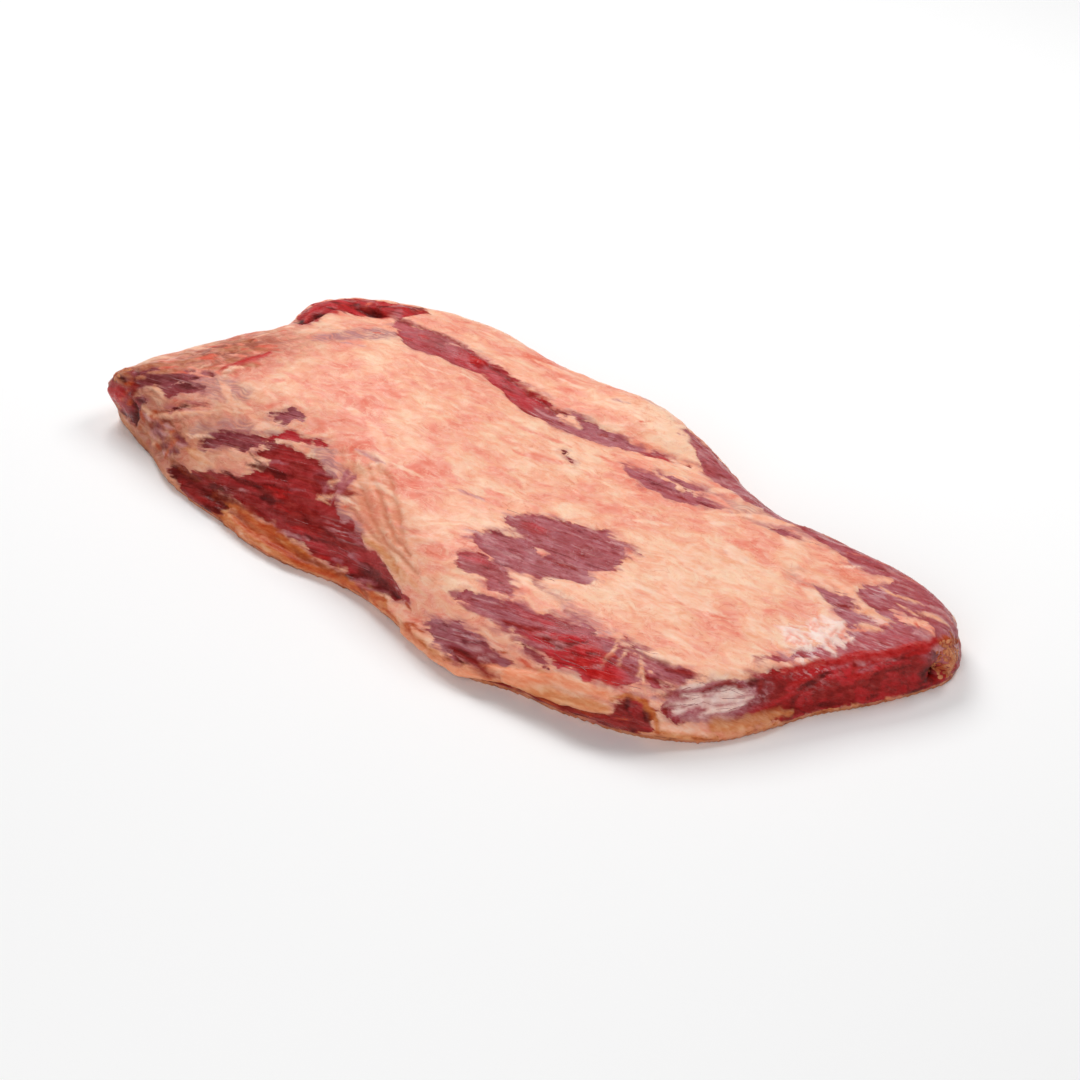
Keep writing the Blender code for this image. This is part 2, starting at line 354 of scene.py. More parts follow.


# %% [markdown]
# ## The windows of lean
#
# Where the knife took the fat away, lean shows. Each window has a look of three numbers: how much
# silverskin still covers it (purple instead of red), how fresh the cut is (bright red) and how deep
# it is (dark). Deep is mostly the lean's own dark red, but in the strip under the roll, low along the
# front and in the pit and the dents it is painted shade. Most windows lie on the front shoulder and
# the middle of the flat; the cut end and the small dark knob at the back of the point are lean all over.

# %% Windows
WINDOWS = {
    # (silver, fresh, deep), half widths in mm along the midrib, the midrib
    "shoulder": ((0.10, 0.28, 0.25), (2, 5, 13, 23, 23, 16, 11, 7, 2), [
        (-184, -114, 11), (-155, -113, 16), (-125, -106, 26), (-100, -99, 32), (-75, -99, 31),
        (-50, -104, 25), (-20, -109, 21), (8, -110, 22), (30, -113, 22)]),
    "shoulder_low": ((0.05, 0.20, 0.60), (4, 9, 9, 4), [
        (-182, -113, 8), (-164, -116, 6), (-146, -118, 7), (-128, -119, 12)]),
    "shoulder_upper": ((0.50, 0.15, 0.45), (2, 6, 5, 2), [
        (-165, -105, 32), (-148, -98, 38), (-135, -93, 43), (-120, -88, 47)]),
    "point_slit": ((0.45, 0.10, 0.70), (1, 3.6, 4, 1.4), [(-226, -94, 41), (-210, -88, 46), (-190, -84, 51)]),
    "point_patch": ((0.70, 0.15, 0.35), (1, 5, 2), [(-136, -78), (-122, -73), (-109, -71)]),
    "tip_top": ((0.58, 0.12, 0.50), (4, 9, 8, 6, 2), [
        (-252, -95, 38), (-242, -91, 43), (-228, -87, 47), (-212, -80, 51), (-194, -73, 53)]),
    "tip_side": ((0.30, 0.20, 0.65), (5, 8, 4), [(-254, -101, 16), (-244, -103, 22), (-234, -101, 31)]),
    "tip_nub": ((0.15, 0.60, 0.30), (8, 10), [(-264, -98, 24), (-251, -99, 28)]),
    "knob": ((0.0, 0.95, 0.20), (4, 13, 15, 12, 12), [
        (-200, 5), (-207, 22), (-205, 42), (-188, 54), (-167, 63)]),
    "seam_point": ((0.40, 0.60, 0.12), (2, 6, 12, 18, 15, 8), [
        (-168, 54), (-150, 46), (-133, 42), (-118, 39), (-103, 43), (-88, 50)]),
    "seam_middle": ((0.25, 0.65, 0.15), (6, 6, 10, 13, 9), [
        (-97, 51), (-66, 52), (-45, 48), (-32, 45), (-25, 45)]),
    "seam_flat": ((0.70, 0.25, 0.05), (5, 13, 11, 5, 3, 1), [
        (-27, 47), (-12, 47), (4, 54), (20, 62), (40, 68), (62, 72)]),
    "flat_back": ((0.66, 0.35, 0.03), (3, 7, 7, 5, 1), [(50, 42), (66, 45), (84, 47), (98, 52), (112, 61)]),
    "back_edge": ((0.55, 0.40, 0.05), (4, 11, 15, 12), [(46, 99), (75, 94), (105, 90), (140, 88)]),
    "middle_upper": ((0.60, 0.20, 0.10), (5, 13, 17, 17, 10), [
        (48, -44), (64, -41), (82, -35), (95, -30), (104, -36)]),
    "middle_lower": ((0.66, 0.18, 0.10), (5, 12, 14, 10, 2), [
        (46, -70), (62, -66), (80, -60), (96, -54), (114, -52)]),
    "middle_start": ((0.50, 0.35, 0.12), (3, 8, 7, 2), [(48, -88), (62, -86), (76, -86), (92, -90)]),
    "middle_crumb": ((0.60, 0.10, 0.10), (2, 2), [(92, -75), (100, -74)]),
    "front_long": ((0.42, 0.50, 0.10), (2, 7, 8, 11, 14, 13, 8, 1), [
        (66, -106), (84, -101), (102, -99), (120, -95), (140, -92), (160, -90), (178, -86), (198, -79)]),
    "front_finger": ((0.70, 0.15, 0.05), (1, 4, 5), [(163, -71), (180, -74), (198, -71)]),
    "front_flap": ((0.50, 0.25, 0.25), (1, 3, 1), [(110, -106, 30), (124, -105, 30), (139, -106, 26)]),
    "front_small": ((0.72, 0.20, 0.05), (3, 9, 9, 4), [
        (55, -118, 21), (73, -119, 21), (92, -118, 18), (108, -114, 17)]),
    # painted shadow: the dark strip of lean under the roll of fat, darkened by its deep look
    "under_roll": ((0.0, 0.20, 0.45), (1, 2, 3, 4, 8), [
        (18, -118, 4), (60, -123, 5), (110, -116, 6), (150, -109, 7), (183, -99, 10)]),
    "lean_eye": ((0.05, 0.35, 0.35), (8, 9), [(186, -97, 7), (191, -94, 19)]),
    "cut_end": ((0.0, 0.50, 0.30), (9, 12, 15, 16, 16, 16, 13), [
        (207, -77, 24), (220, -50, 22), (232, -26, 19), (245, 4, 18), (258, 30, 18), (268, 60, 16),
        (271, 86, 14)]),
    "end_purple": ((0.85, 0.15, 0.03), (2, 7, 8, 8, 5), [
        (196, 43), (214, 44), (230, 38), (245, 28), (254, 18)]),
    "end_rim": ((0.55, 0.60, 0.04), (1, 4, 8, 10, 11), [
        (220, -30), (230, -10), (240, 8), (250, 28), (256, 46)]),
    "end_back": ((0.66, 0.36, 0.04), (8, 20, 21), [(220, 62), (243, 70), (264, 70)]),
    "end_far": ((0.56, 0.44, 0.06), (2, 9, 15, 15, 12), [
        (150, 78), (172, 86), (196, 90), (222, 94), (246, 90)]),
}

LOOK_DABS = [
    # which look, its value, then x, y, half length, half width, turn in degrees (and height)
    ("silver", 0.05, 146, -95, 40, 10, 2), ("fresh", 1.00, 146, -96, 40, 10, 2),
    ("silver", 1.00, 14, 58, 34, 8, 22), ("silver", 1.00, 64, -117, 12, 6, 0, 22),
    ("deep", 0.25, 98, -118, 12, 5, 0, 14), ("silver", 0.20, 98, -118, 12, 6, 0, 15),
    ("silver", 0.80, 90, -101, 22, 6, 4), ("silver", 0.80, 170, -84, 20, 5, -8),
    ("fresh", 0.60, 54, -84, 12, 5, 10), ("silver", 0.25, 54, -84, 12, 5, 10),
    ("fresh", 0.70, 58, -41, 10, 5, 10), ("silver", 0.25, 58, -41, 10, 5, 10),
    ("silver", 0.80, 216, -58, 32, 15, 60, 24), ("deep", 0.00, 214, -62, 26, 14, 60, 24),
    # painted shade: the next two deep dabs, in the pit of the cut end and low on the cut face
    ("deep", 0.75, 268, 52, 8, 8, 0, 12), ("deep", 0.50, 238, -16, 8, 6, 0, 12),
    ("fresh", 0.90, 250, 10, 30, 8, 60, 28), ("deep", 0.00, 250, 10, 30, 8, 60, 30),
    # painted shade: every deep dab from here to the end of the list, low along the front foot and in the two
    # dents beside the knob
    ("silver", 0.55, -64, -90, 14, 5, 0, 46), ("deep", 0.70, -150, -114, 34, 7, 0, 12),
    ("deep", 0.45, -100, -112, 30, 6, 0, 15), ("fresh", 0.60, -40, -111, 30, 7, 0, 18),
    ("deep", 0.70, 92, -122, 20, 4, 0, 15), ("silver", 0.05, 92, -122, 20, 4, 0, 15),
    ("deep", 0.80, -204, 14, 6, 14, -30), ("deep", 0.85, -184, 48, 13, 3, 5),
]

ISLANDS = [
    # fat left standing inside a window: half widths, midrib
    ((4, 8, 7, 3), [(-162, -108, 25), (-146, -106, 30), (-130, -102, 35), (-116, -98, 40)]),
    ((1, 3, 1), [(70, -55), (77, -53), (83, -52)]),
    ((1, 3, 1), [(-22, 52), (-12, 55), (-2, 56)]),
    ((1, 4, 3), [(236, 56), (250, 60), (264, 60)]),
]


def look_of(distance, numbers, start, stop):
    """All looks, with those of one leaf laid in from start to stop mm inside its edge."""
    share = ease(distance, start, stop)[:, None]
    return look * (1.0 - share) + np.array(numbers) * share


lean = np.full(len(place), FAR)
square = np.zeros(len(place))
look = np.zeros((len(place), 3))
window = {}
for name, (numbers, halves, points) in WINDOWS.items():
    window[name], squareness = leaf(midrib(points), halves)
    wins = window[name] > lean
    lean[wins] = window[name][wins]
    square[wins] = squareness[wins]
    look = look_of(window[name], numbers, -4.0, 1.0)
for name, value, *spot in LOOK_DABS:
    share = ease(dab(*spot), 0.12, 0.55)
    column = ("silver", "fresh", "deep").index(name)
    look[:, column] += share * (value - look[:, column])
for halves, points in ISLANDS:
    lean = np.minimum(lean, -leaf(midrib(points), halves)[0])
print("windows:", len(WINDOWS), "bare lean on", int((lean > 0).sum()), "points")

# %% [markdown]
# ## Slits, creases and veils
#
# A *slit* opens the fat down to the lean, and a *veil* is silverskin so thin that the fat under it
# looks grey. The folds beside the shoulder are one fold repeated: the fat wrinkles like cloth where
# the point bends down to the flat, so a loop makes them between an inner and an outer line.

# %% Slits and veils
SLITS = [
    # (silver, fresh, deep), half widths, midrib
    ((0.10, 0.75, 0.20), (1, 3.2, 2.2, 1), [(-126, -88), (-112, -81), (-97, -78), (-84, -77)]),
    ((0.30, 0.10, 0.75), (0.4, 1.5, 0.4), [(-214, -99, 32), (-196, -93, 42), (-178, -88, 48)]),
    ((0.60, 0.15, 0.10), (1, 1, 0.3), [(97, -14), (106, -13), (115, -14)]),
    ((0.60, 0.15, 0.10), (0.4, 1.5, 0.4), [(122, -78), (136, -77), (150, -79)]),
    ((0.20, 0.10, 0.80), (0.8, 1.3, 0.6), [(15, 23), (20, 22), (25, 20)]),
    ((0.20, 0.80, 0.05), (0.6, 1.5, 0.8), [(38, 68), (52, 71), (66, 80)]),
    ((0.80, 0.10, 0.05), (0.4, 2.5, 0.8), [(60, 54), (78, 58), (100, 65)]),
    ((0.80, 0.10, 0.05), (0.5, 1.8, 0.3), [(134, 62), (150, 68), (170, 74)]),
]
VEILS = [
    # strength, half widths, midrib
    (1.0, (2, 9, 4), [(-170, -10), (-150, 16), (-140, 38)]),
    (1.0, (3, 8, 8, 4), [(-82, -80), (-64, -88, 49), (-48, -97, 40), (-28, -104, 32)]),
    (0.8, (3, 7, 8, 4), [(-232, -80, 50), (-212, -84, 50), (-188, -78), (-160, -76)]),
    (0.8, (1, 3, 1), [(-180, -103, 35), (-150, -91, 46), (-115, -82, 52)]),
    (0.7, (1, 5, 1), [(110, -72), (132, -78), (152, -73)]),
    (0.6, (2, 6, 2), [(86, 60), (124, 67), (160, 73)]),
    (0.5, (2, 5, 2), [(180, 44), (198, 42), (214, 36)]),
]
FOLD_INNER = [(-72, -80), (-48, -95), (-14, -101), (30, -110)]
FOLD_OUTER = [(-66, -60), (-28, -72), (8, -95), (58, -108)]
FOLD_COUNT = 10
FOLD_HALVES = (0.3, 1.1, 1.3, 1.0, 0.3)
FOLD_SWAY = 1.3  # mm that a fold wanders to either side
FOLD_WAVES = 9.0  # radians of that wander along the whole fold
FOLD_SEED = 5

for numbers, halves, points in SLITS:
    distance, squareness = leaf(midrib(points), halves, wander=0.45)
    look = look_of(distance, numbers, -2.0, 0.5)
    square[distance > lean] = 0.3
    lean = np.maximum(lean, distance)

veil = np.zeros(len(place))
for strength, halves, points in VEILS:
    veil = np.maximum(veil, strength * ease(leaf(midrib(points), halves)[0], -5.0, 1.0))

fold = np.zeros(len(place))
dice = np.random.default_rng(FOLD_SEED)
inner, outer = smooth_path(FOLD_INNER), smooth_path(FOLD_OUTER)
for share in np.linspace(0.05, 0.95, FOLD_COUNT):
    whole = inner + share * (outer - inner)
    start, stop = dice.uniform(0.0, 0.35), dice.uniform(0.6, 1.0)
    used = whole[int(start * len(whole)):int(stop * len(whole))]
    waves = np.linspace(0.0, FOLD_WAVES, len(used))
    used[:, 0] += FOLD_SWAY * np.sin(waves + dice.uniform(0.0, 6.0))
    closeness = ease(leaf(midrib(used[::3]), FOLD_HALVES, wander=0.45)[0], -2.2, 0.6)
    fold = np.maximum(fold, dice.uniform(0.5, 1.0) * closeness)
print("slits, veils, folds:", len(SLITS), len(VEILS), FOLD_COUNT)

# %% [markdown]
# ## Tints, painted shade and painted highlights
#
# Fat isn't one colour. Blood tints it salmon at the point, it dries to an orange tan along the cap's
# lip, and in places it is nearly white. A darker brown lies over the point and low along the lip. The
# same dabs also paint light: painted shade in the pit of the cut end, in the dents beside the knob and
# in the creases low round the tip, and painted highlights, a wet white, mostly round the cut end.
# These tints are soft oval dabs, as a painter would lay them in before the detail. Each row is a spot
# on the meat: x and y, half length and half width, turn in degrees, strength and, low on the sides,
# the height above the table.

# %% Dabs of tint, painted shade and painted highlights
BLUSH = [
    (-205, -44, 62, 38, 35, 1.0), (-240, -72, 24, 14, 30, 1.0), (-190, -50, 10, 12, 0, 1.0),
    (-160, -40, 50, 46, 30, 0.6), (-60, 92, 70, 20, 0, 0.9), (-20, -70, 30, 24, -40, 0.6),
    (-92, -64, 34, 10, 10, 0.6), (-62, -66, 16, 12, 0, 0.7), (-36, -60, 30, 14, 0, 0.4),
    (-10, -74, 16, 10, 0, 0.5), (172, -24, 34, 7, 8, 0.6), (120, -14, 20, 6, 20, 0.35),
    (-60, 84, 30, 10, 5, 0.5), (60, 30, 30, 6, 15, 0.3), (36, -80, 8, 16, 0, 0.4),
    (-78, -9, 44, 26, 10, 0.35), (-18, -20, 36, 24, 10, 0.35), (112, -8, 8, 5, 0, 0.4),
    (150, 70, 24, 6, 10, 0.4), (30, 66, 24, 3, 20, 0.6), (57, -25, 4, 3, 0, 1.0),
    (-90, 53, 5, 4, 0, 1.0),
]
TALLOW = [
    (-256, -88, 14, 10, 30, 0.8), (-218, -104, 12, 8, 0, 0.6), (-180, -106, 16, 6, 0, 0.4),
    (-60, -119, 90, 8, 0, 1.0, 8), (206, 62, 22, 12, 30, 0.25), (120, -120, 90, 6, 8, 0.8, 4),
]
# fat turned a darker brown over the point and low along the near lip
DARKER_BROWN = [
    (-244, -92, 40, 26, 20, 1.0), (-206, -104, 44, 18, 5, 0.80), (-212, -46, 58, 34, 36, 1.0),
    (-164, -98, 34, 18, 10, 0.50), (-70, -120, 80, 7, 0, 0.7, 6),
]
# painted highlights: dabs where a wet white is laid into the colour, most of them round the cut end
PAINTED_HIGHLIGHTS = [
    (214, -60, 26, 10, 62, 1.0, 26), (236, -6, 14, 16, 60, 0.8), (226, 14, 16, 12, 0, 0.7),
    (252, 30, 14, 10, 70, 0.5), (214, 38, 14, 8, 20, 0.5), (226, 12, 24, 15, 66, 1.0),
    (78, -115, 18, 5, 0, 0.6, 23), (-36, -104, 14, 3, 0, 0.5, 30), (222, 66, 14, 7, 30, 0.7),
    (237, 46, 14, 9, 20, 0.6),
]
PALE = [
    (150, -10, 90, 40, 15, 0.7), (30, 92, 52, 22, -6, 1.6), (21, 22, 40, 22, 10, 1.1),
    (30, -20, 40, 20, 10, 0.4), (90, -78, 26, 9, 12, 0.6), (130, -56, 44, 22, 10, 0.9),
    (60, 20, 60, 12, 15, 0.4), (200, 8, 26, 20, 20, 0.5), (-84, -96, 3, 2, 0, 0.8),
    (226, 62, 16, 6, 20, 0.9), (214, 56, 10, 5, 40, 0.9), (10, -104, 24, 8, -10, 0.5),
]
# painted shade: dabs that darken the pit of the cut end, the dents beside the knob and the creases low round
# the tip
PAINTED_SHADE = [
    (-266, -99, 10, 8, 0, 0.5), (-242, -102, 12, 12, 0, 0.75), (-230, -104, 28, 10, 0, 0.5),
    (-196, -112, 30, 10, 0, 0.45), (-204, 16, 8, 14, -20, 0.7), (-184, 48, 14, 3, 5, 0.9),
    (272, 56, 5, 5, 0, 0.9),
]


def tint(spots):
    """The strongest of several dabs at each point."""
    best = np.zeros(len(place))
    for x, y, length, width, turn, strength, *up in spots:
        best = np.maximum(best, strength * dab(x, y, length, width, turn, *up))
    return best


blush, tallow, pale, painted_shade, darker_brown, painted_highlight = (
    tint(dabs) for dabs in (BLUSH, TALLOW, PALE, PAINTED_SHADE, DARKER_BROWN, PAINTED_HIGHLIGHTS))

# the lip of the cap: low on the sides all round, and orange
lip = ease(-height, -26.0, -9.0) * ease(-facing[:, 2], -0.75, -0.1)
tallow = np.maximum(tallow, 0.9 * lip)
print("tinted points:", {"blush": int((blush > 0.3).sum()), "tallow": int((tallow > 0.3).sum())})

# %% [markdown]
# ## Strands of tissue
#
# Meat is made of strands: fibres, threads of silverskin, ribbons of fat. Thousands of them can't be
# placed one by one and needn't be, because they obey rules: each kind keeps to its own area, has a
# usual length and thickness, stands proud or lies low, and runs along the fibres, round the piece or
# down its side. So each row below is a rule, and a loop lays the strands by it: it picks a point in
# the area and *walks* over the skin both ways. Only the few marks that a buyer would know the piece
# by, such as the roll of fat or the pit in the cut end, are placed one by one.

# %% Colours of the tissues, with painted shade and a painted highlight among them
TISSUES = {
    "cream": (0.88, 0.46, 0.30),
    "pale": (0.94, 0.58, 0.42),
    "peach": (0.93, 0.50, 0.35),
    # pearl: pale pearly fat with a painted wet highlight in it
    "pearl_and_sheen": (0.95, 0.72, 0.64),
    "rose": (0.86, 0.33, 0.24),
    "honey": (0.86, 0.35, 0.20),
    "coral": (0.74, 0.15, 0.09),
    "clay": (0.52, 0.19, 0.10),
    "tan": (0.70, 0.29, 0.13),
    "amber": (0.56, 0.15, 0.035),
    "ember": (0.52, 0.08, 0.014),
    # umber: dark brown laid in sunk lines, where it paints their shade
    "rust": (0.26, 0.032, 0.012),
    "umber_crease_shade": (0.10, 0.009, 0.004),
    # painted shade for the pit in the cut end
    "pit_shade": (0.012, 0.002, 0.001),
    "lilac": (0.60, 0.27, 0.27),
    "mauve": (0.46, 0.13, 0.145),
    "plum": (0.27, 0.045, 0.055),
    "wine": (0.15, 0.008, 0.006),
    "garnet": (0.30, 0.016, 0.012),
    "cherry": (0.52, 0.018, 0.016),
    "flesh": (0.60, 0.15, 0.12),
}

# %% Areas where strands lie
AREA_DABS = {
    # x, y, half length, half width, turn in degrees (and height)
    "tip": (-252, -92, 24, 16, 20, 34),
    "cheek": (-212, -56, 50, 32, 34),
    "flank": (-206, -105, 40, 14, 0, 22),
    "shoulder_foot": (-150, -113, 40, 8, 0, 13),
    "shoulder_rim": (-52, -92, 22, 12, -30, 44),
    "fresh_pool": (146, -95, 36, 9, 2),
    "crossing": (172, -82, 16, 10, -10),
    "cut_near": (214, -62, 26, 14, 60, 24),
    "cut_edge": (250, 16, 50, 12, 66, 29),
    "pearl_knot": (226, 12, 26, 15, 66),
    "far_corner": (240, 56, 30, 26, 20),
}
FLAT_START, POINT_END = 90.0, -190.0  # along the meat, in mm
NEAR_EDGE, LIP_TOP = -95.0, 16.0  # across it and above the table
on_fat = (lean < -2.0) & ~on_table
steep = facing[:, 2] < 0.6
area = {name: dab(*spot) > 0.4 for name, spot in AREA_DABS.items()}
area["pearl_knot"] &= ~on_table
area["fat"] = on_fat & ~steep & ~area["tip"] & ~area["cheek"]
area["right_fat"] = area["fat"] & (place[:, 0] > FLAT_START)
area["side"] = on_fat & steep & ~area["tip"]
area["near_lip"] = on_fat & (place[:, 1] < NEAR_EDGE) & (height < LIP_TOP) & (place[:, 0] > POINT_END)
for name, distance in window.items():
    area[name] = (distance > 0.5) & (lean > 0.0)
area["knob_and_seam"] = area["knob"] | area["seam_point"] | area["seam_middle"]
area["middle"] = area["middle_upper"] | area["middle_lower"] | area["front_finger"] | area["flat_back"]
area["far_end"] = area["end_purple"] | area["end_back"] | area["end_far"] | area["back_edge"]
print("areas:", len(area), "smallest has", min(int(a.sum()) for a in area.values()), "points")

# %% Rules for the strands
STRANDS = [
    # area, tissue, how many, length, half thickness, height (all mm), direction, spread in degrees
    ("fat", "peach", 40, (14, 40), (1.4, 3.6), 0.20, "fibres", 40),
    ("fat", "pale", 40, (10, 32), (0.8, 2.2), 0.35, "fibres", 35),
    ("fat", "rose", 26, (10, 30), (0.8, 2.4), -0.15, "fibres", 30),
    ("fat", "coral", 10, (5, 12), (0.5, 1.0), -0.10, "fibres", 50),
    ("fat", "lilac", 8, (12, 28), (0.6, 1.4), 0.00, "fibres", 12),
    ("right_fat", "pale", 22, (14, 36), (1.6, 4.0), 0.30, "fibres", 30),
    ("right_fat", "cream", 12, (10, 26), (0.8, 1.8), 0.30, "fibres", 40),
    ("side", "tan", 46, (14, 40), (1.2, 3.0), 0.30, "round", 12),
    ("side", "cream", 34, (12, 34), (0.8, 2.0), 0.45, "round", 14),
    ("side", "coral", 14, (8, 20), (0.6, 1.6), 0.00, "round", 20),
    ("side", "ember", 12, (4, 12), (0.6, 1.4), 0.00, "round", 30),
    ("near_lip", "tan", 16, (16, 40), (1.2, 2.6), 0.50, "round", 8),
    ("near_lip", "amber", 30, (10, 40), (0.8, 2.2), 0.20, "round", 10),
    ("near_lip", "ember", 26, (6, 24), (0.6, 1.6), -0.20, "round", 20),
    ("near_lip", "rust", 12, (4, 16), (0.4, 1.0), -0.40, "round", 25),
    ("cheek", "coral", 16, (10, 28), (1.0, 2.6), 0.20, "fibres", 25),
    ("cheek", "clay", 20, (12, 34), (1.0, 2.6), 0.25, "fibres", 20),
    ("cheek", "rose", 10, (10, 28), (0.8, 1.8), 0.35, "fibres", 25),
    ("cheek", "rust", 6, (3, 9), (0.5, 0.9), -0.20, "fibres", 60),
    ("tip", "garnet", 12, (6, 20), (1.6, 3.6), 0.00, "fibres", 40),
    ("tip", "plum", 14, (8, 26), (1.4, 3.4), -0.40, "fibres", 20),
    ("tip", "clay", 8, (8, 22), (1.0, 2.2), 0.60, "fibres", 25),
    # dark sunk lines at the tip, painted shade
    ("tip", "umber_crease_shade", 7, (6, 14), (0.6, 1.4), -1.00, "round", 30),
    ("tip", "ember", 5, (3, 8), (1.0, 2.0), 0.20, "fibres", 60),
    ("flank", "clay", 18, (10, 28), (1.2, 2.6), 0.30, "fibres", 25),
    ("flank", "rust", 12, (6, 20), (0.8, 2.2), -0.40, "fibres", 25),
    ("flank", "cream", 6, (10, 26), (0.6, 1.6), 0.70, "fibres", 15),
    ("flank", "lilac", 8, (10, 26), (0.5, 1.2), 0.30, "fibres", 12),
    ("flank", "ember", 9, (3, 9), (1.0, 2.2), 0.00, "fibres", 60),
    ("flank", "plum", 6, (8, 22), (0.8, 2.0), -0.20, "fibres", 20),
    ("shoulder", "wine", 15, (16, 50), (0.8, 2.4), -0.35, "fibres", 8),
    ("shoulder", "garnet", 16, (14, 44), (0.8, 2.6), 0.10, "fibres", 8),
    ("shoulder", "cherry", 6, (10, 34), (0.5, 1.2), 0.20, "fibres", 8),
    ("shoulder", "mauve", 9, (10, 30), (0.5, 1.2), 0.30, "fibres", 10),
    ("shoulder", "lilac", 5, (6, 22), (0.4, 0.8), 0.25, "fibres", 12),
    ("shoulder_foot", "rust", 7, (10, 26), (0.8, 1.8), -0.70, "round", 8),
    ("shoulder_upper", "plum", 4, (10, 26), (1.0, 2.4), -0.30, "fibres", 10),
    ("shoulder_rim", "mauve", 7, (8, 20), (0.8, 2.2), 0.10, "down", 25),
    ("shoulder_rim", "cream", 3, (8, 20), (0.6, 1.4), 0.40, "fibres", 25),
    ("knob", "cherry", 8, (6, 20), (1.0, 2.8), 0.30, "round", 40),
    ("knob", "garnet", 10, (6, 20), (1.0, 2.8), 0.20, "round", 40),
    ("knob", "wine", 8, (6, 18), (1.0, 2.4), -0.80, "round", 40),
    ("knob", "coral", 5, (5, 14), (0.6, 1.4), 0.50, "round", 40),
    ("knob_and_seam", "cherry", 12, (5, 16), (0.8, 2.0), 0.30, "fibres", 20),
    ("seam_point", "mauve", 6, (8, 26), (0.8, 2.2), 0.10, "fibres", 12),
    ("seam_flat", "lilac", 9, (8, 26), (0.6, 1.6), 0.20, "fibres", 12),
    ("seam_flat", "garnet", 5, (8, 20), (0.6, 1.6), -0.20, "fibres", 12),
    ("middle", "mauve", 18, (10, 34), (0.6, 1.8), 0.10, "fibres", 8),
    ("middle", "plum", 12, (10, 30), (0.5, 1.4), -0.25, "fibres", 8),
    ("middle", "garnet", 9, (8, 24), (0.6, 1.8), -0.10, "fibres", 8),
    ("middle", "lilac", 10, (10, 30), (0.4, 0.9), 0.35, "fibres", 10),
    ("front_long", "mauve", 9, (12, 36), (0.8, 2.4), 0.10, "fibres", 8),
    ("front_long", "garnet", 9, (12, 34), (0.6, 1.8), -0.10, "fibres", 8),
    ("fresh_pool", "cherry", 12, (10, 32), (0.8, 2.2), 0.20, "fibres", 12),
    ("fresh_pool", "wine", 5, (8, 22), (0.4, 0.8), -0.40, "fibres", 20),
    ("fresh_pool", "lilac", 5, (8, 24), (0.4, 0.8), 0.30, "fibres", 12),
    ("crossing", "cream", 4, (10, 26), (0.4, 1.0), 0.40, "down", 25),
    ("front_small", "plum", 5, (8, 20), (0.8, 2.0), -0.30, "round", 8),
    ("front_small", "lilac", 4, (6, 16), (0.6, 1.6), 0.30, "round", 10),
    ("under_roll", "garnet", 12, (10, 34), (0.8, 2.0), 0.20, "round", 8),
    ("under_roll", "ember", 8, (6, 20), (0.6, 1.4), 0.20, "round", 10),
    ("lean_eye", "wine", 4, (6, 14), (1.0, 2.2), -0.40, "down", 20),
    ("cut_end", "garnet", 14, (10, 34), (1.2, 3.4), 0.10, "round", 14),
    ("cut_end", "wine", 14, (8, 26), (0.8, 2.6), -0.50, "round", 25),
    ("cut_end", "garnet", 16, (6, 16), (0.6, 1.4), 0.25, "down", 25),
    ("cut_edge", "cherry", 7, (10, 30), (0.8, 2.0), 0.30, "round", 12),
    ("end_rim", "lilac", 10, (8, 24), (0.5, 1.2), 0.30, "fibres", 20),
    ("cut_near", "lilac", 20, (8, 26), (0.7, 2.0), 0.30, "round", 18),
    ("cut_near", "mauve", 8, (8, 24), (0.8, 2.0), 0.00, "round", 18),
    ("cut_near", "garnet", 6, (8, 20), (0.5, 1.4), -0.30, "round", 18),
    # pearly strands on the cut, a painted highlight in their colour
    ("cut_near", "pearl_and_sheen", 16, (8, 26), (0.6, 1.8), 0.45, "round", 18),
    ("far_end", "mauve", 14, (8, 28), (0.8, 2.4), 0.00, "fibres", 14),
    ("far_end", "flesh", 12, (8, 26), (0.8, 2.4), 0.10, "fibres", 16),
    ("far_end", "garnet", 7, (6, 20), (0.6, 1.6), -0.20, "fibres", 16),
    ("far_end", "lilac", 34, (8, 30), (0.6, 1.5), 0.30, "fibres", 14),
    ("far_corner", "cream", 8, (12, 30), (0.8, 2.2), 0.60, "fibres", 30),
    # pearly strands of the knot, a painted highlight in their colour
    ("pearl_knot", "pearl_and_sheen", 34, (6, 20), (0.8, 2.0), 0.90, "fibres", 110),
    ("pearl_knot", "rose", 12, (4, 14), (0.5, 1.2), -0.30, "fibres", 110),
]
